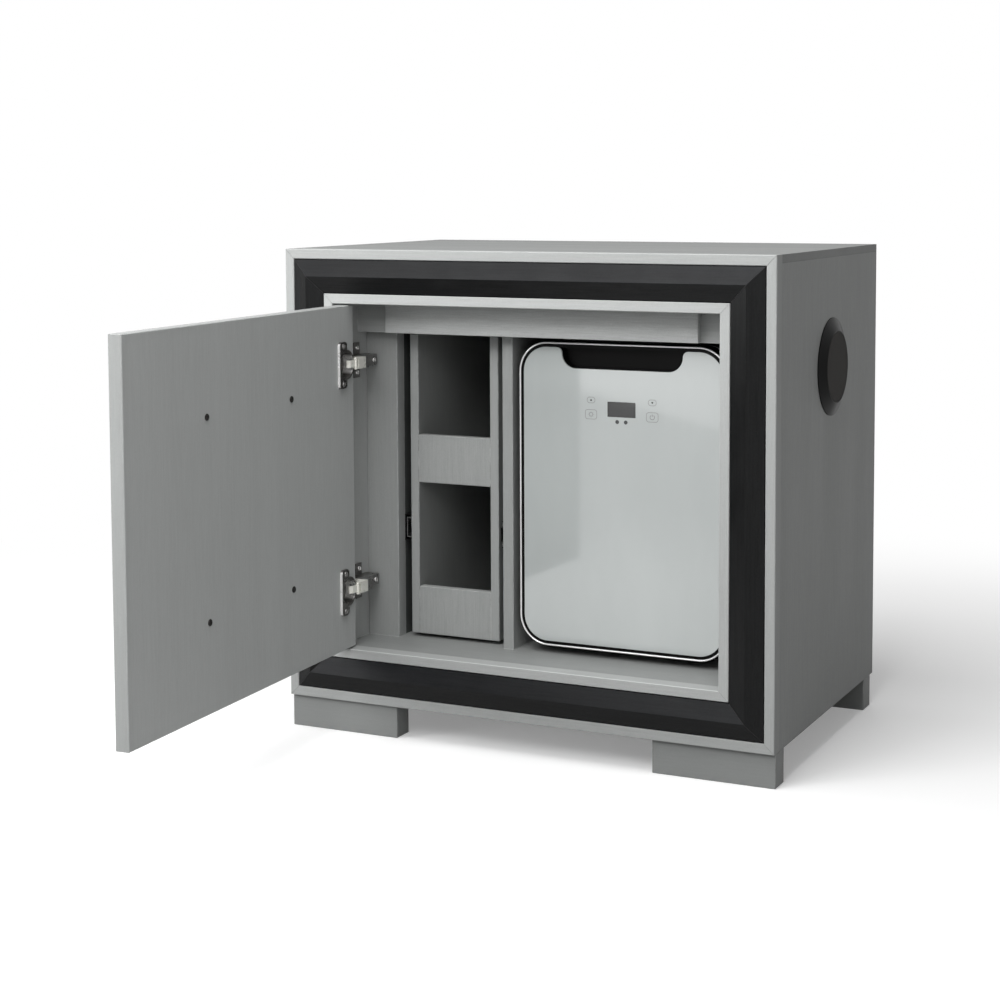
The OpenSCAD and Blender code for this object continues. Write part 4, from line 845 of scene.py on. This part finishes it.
def on_open_door(x, y, z):
    """A point of the shut door, in millimetres from the front plane, turned with the door: about the axis
    by (dx cos + dy sin, -dx sin + dy cos)."""
    c, s = math.cos(DOOR_OPEN), math.sin(DOOR_OPEN)
    dx, dy = x - HINGE_AXIS[0], y - HINGE_AXIS[1]
    return HINGE_AXIS[0] + dx * c + dy * s, HINGE_AXIS[1] - dx * s + dy * c + FRONT_PLANE_Y / MM, z


door_facing = (math.sin(DOOR_OPEN), math.cos(DOOR_OPEN), 0.0)
handle_screws = merged([
    cross_screw(*HANDLE_SCREW, on_open_door(x, DOOR_BACK, DOOR_MIDDLE_Z + z), door_facing, 0.5 + 0.3 * k)
    for k, (x, z) in enumerate((x, z) for x in (-HANDLE_X, HANDLE_X) for z in (-HANDLE_Z, HANDLE_Z))])
cup_screws = merged([
    cross_screw(*CUP_SCREW, on_open_door(CUP_SCREW_X, DOOR_BACK + CUP_FLANGE, z), door_facing, 0.2 + 0.5 * k)
    for k, z in enumerate(z + rise for z in HINGE_Z for rise in (-CUP_SCREW_RISE, CUP_SCREW_RISE))])
plate_screws = merged([
    cross_screw(*PLATE_SCREW, length, (x, y + FRONT_PLANE_Y / MM, z + rise), (1.0, 0.0, 0.0), 0.4 * k)
    for z in HINGE_Z for k, (x, y, rise, length) in enumerate(PLATE_SCREWS)])
for name, part, finish, level, rough, body, slot, node in (
        ("handle_screw_set", handle_screws, "dark_screw_finish", 48, 0.34,
         "door", "screw_steel", "door_screws"),
        ("cup_screw_set", cup_screws, "cup_screw_finish", 128, 0.30,
         "door", "screw_steel", "door_screws"),
        ("plate_screw_set", plate_screws, "screw_finish", 196, 0.22,
         "cabinet", "hinge_steel", "plate_screws")):
    steel = brushed(finish, level, rough, (8.0, 8.0, 8.0))
    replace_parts(make_piece(name, part, steel, body, True), node)

# The touch keys: two small ones with arrows over two large ones with a light and a power sign.
KEY_X, KEY_Z = 41.0, 9.0
SMALL_KEY, LARGE_KEY = (10.5, 7.2, 3.2), (15.5, 11.7, 3.2)
KEYS_BELOW_DISPLAY_TOP = 8.0
INK_LIFT, INK_GAP = 0.06, 0.01


def touch_keys():
    """The faint outlines of the four keys with the signs of the lower two, and the two dark arrows, in
    millimetres about the middle of the keys."""
    faint, dark = [], []
    for side in (-1, 1):
        x = side * KEY_X
        faint.append(placed(printed_line(rounded_rectangle(*SMALL_KEY), 0.6), x, 0, KEY_Z))
        faint.append(placed(printed_line(rounded_rectangle(*LARGE_KEY), 0.6), x, 0, -KEY_Z))
        tip = np.array([[-1.3, -1.0], [1.3, -1.0], [0.0, 1.2]]) * (1, -side)
        sides = np.concatenate([np.linspace(tip[k], tip[(k + 1) % 3], 6, endpoint=False) for k in range(3)])
        dark.append(placed(printed_line(sides * 0.62, 1.1), x, 0, KEY_Z))
    light = [printed_line(arc(2.3, 0, 351), 0.7)]
    for angle in np.arange(8) * np.pi / 4:
        ray = np.outer([3.0, 3.5, 4.0], [np.cos(angle), np.sin(angle)])
        light.append(printed_line(ray, 0.45, False))
    power = [printed_line(arc(2.9, 125, 415), 0.8, False),
             printed_line([[0.0, 0.8], [0.0, 2.2], [0.0, 3.6]], 0.8, False)]
    faint += [placed(merged(light), -KEY_X, 0, -KEY_Z), placed(merged(power), KEY_X, 0, -KEY_Z)]
    return merged(faint), merged(dark)


display_low, display_high = box_mm("fridge_display")
keys_x = (display_low[0] + display_high[0]) / 2
keys_y = box_mm("fridge_glass")[0][1] - INK_GAP
keys_z = display_high[2] - KEYS_BELOW_DISPLAY_TOP
faint_keys, dark_keys = touch_keys()
for name, part, finish, level, spread in (
        ("touch_key_outlines", faint_keys, "faint_ink_finish", 128, 3.0),
        ("touch_key_arrows", dark_keys, "dark_ink_finish", 52, 4.0)):
    ink = moulded(finish, level, 0.30, spread=spread, dusty=0.0)
    make_piece(name, placed(part, keys_x, keys_y, keys_z), ink, "fridge_door")


# ---------------------------------------------------------------- studio

WHITE = (1.0, 1.0, 1.0, 1.0)
FLOOR_HALF = 9.0


def bare_tree(owner):
    """The emptied node tree of a material or a world."""
    owner.use_nodes = True
    owner.node_tree.nodes.clear()
    return Tree(owner.node_tree)


def looked_at(t):
    """1 for rays from the eye, also by way of gloss or clear plastic, and 0 for rays that light things."""
    path = t.add("ShaderNodeLightPath").outputs
    return t.math("MAXIMUM", path["Is Camera Ray"],
                  t.math("MAXIMUM", path["Is Glossy Ray"], path["Is Transmission Ray"]))


def pale_floor(name):
    """Pale matt floor that keeps the shadow near the object. Seen directly it fades to plain white away
    from the middle, by its distance from the origin; rays that light the object meet a plain grey floor."""
    material = bpy.data.materials.new(name)
    t = bare_tree(material)
    far = t.ramp(t.length(t.add("ShaderNodeTexCoord").outputs["Object"]), 0.7, 1.8)
    near = t.add("ShaderNodeBsdfDiffuse", {"Color": grey(236)})
    lift = t.add("ShaderNodeEmission", {"Color": WHITE, "Strength": 0.24})
    shown = t.add("ShaderNodeAddShader", {0: near.outputs[0], 1: lift.outputs[0]})
    white = t.add("ShaderNodeEmission", {"Color": WHITE, "Strength": 1.0})
    seen = t.add("ShaderNodeMixShader", {0: far, 1: shown.outputs[0], 2: white.outputs[0]})
    plain = t.add("ShaderNodeBsdfDiffuse", {"Color": grey(150)})
    both = t.add("ShaderNodeMixShader", {0: looked_at(t), 1: plain.outputs[0], 2: seen.outputs[0]})
    t.add("ShaderNodeOutputMaterial", {"Surface": both.outputs[0]})
    return material


floor_corners = [(x * FLOOR_HALF, y * FLOOR_HALF, 0.0) for x, y in ((-1, -1), (1, -1), (1, 1), (-1, 1))]
studio_floor = new_object("studio_floor", floor_corners, [[0, 1, 2, 3]], pale_floor("studio_floor"))

world = bpy.data.worlds.new("studio_world")
scene.world = world
w = bare_tree(world)
light = w.add("ShaderNodeBackground", {"Color": WHITE, "Strength": 0.11})
shown = w.add("ShaderNodeBackground", {"Color": WHITE, "Strength": 1.0})
both = w.add("ShaderNodeMixShader", {0: looked_at(w), 1: light.outputs[0], 2: shown.outputs[0]})
w.add("ShaderNodeOutputWorld", {"Surface": both.outputs[0]})


def soft_lamp(name, place, aim, width, height, power):
    """A rectangular area lamp at place, turned to look at aim, both in metres."""
    data = bpy.data.lights.new(name, "AREA")
    data.shape = "RECTANGLE"
    data.size, data.size_y = width, height
    data.energy = power
    lamp = bpy.data.objects.new(name, data)
    scene.collection.objects.link(lamp)
    lamp.location = place
    lamp.rotation_euler = (Vector(aim) - Vector(place)).to_track_quat("-Z", "Y").to_euler()


for name, place, aim, width, height, power in (
        ("front_left", (-0.9, -1.7, 1.7), (0.0, 0.0, 0.35), 1.2, 1.0, 18.5),
        ("front_middle", (0.1, -1.7, 1.7), (0.0, 0.0, 0.35), 1.2, 1.0, 16.0),
        ("front_right", (1.0, -1.9, 1.2), (-0.1, 0.0, 0.3), 1.2, 1.0, 3.8),
        ("right", (1.9, -1.6, 1.0), (-0.2, -0.1, 0.3), 1.2, 1.2, 4.2),
        ("left", (-1.7, -1.4, 0.9), (0.0, 0.1, 0.3), 1.0, 1.0, 20.0),
        ("overhead", (0.0, -0.6, 2.4), (0.0, 0.0, 0.3), 1.2, 1.2, 30.0),
        ("left_rear", (-2.2, 0.6, 1.0), (0.0, 0.2, 0.3), 1.0, 1.0, 9.0),
        ("rear", (-0.7, 2.3, 0.36), (0.0, 0.3, 0.3), 1.2, 0.44, 12.0)):
    soft_lamp(name, place, aim, width, height, power)

# A pale card that only shiny faces see, as they would see a bright wall of the room. Its slanting lower
# edge makes the diagonal in the refrigerator's glass.
CARD_Y = -2.4
card_material = bpy.data.materials.new("bright_card")
t = bare_tree(card_material)
glow = t.add("ShaderNodeEmission", {"Color": WHITE, "Strength": 2.4})
t.add("ShaderNodeOutputMaterial", {"Surface": glow.outputs[0]})
card_outline = [(-2.0, 0.348), (-0.33, 0.001), (-0.1, 0.001), (-0.1, 0.9), (-2.0, 0.9)]
card = new_object("bright_card", [(x, CARD_Y, z) for x, z in card_outline], [[0, 1, 2, 3, 4]],
                  card_material)
card.visible_camera = card.visible_diffuse = card.visible_shadow = card.visible_transmission = False

scene.view_settings.view_transform = "Standard"
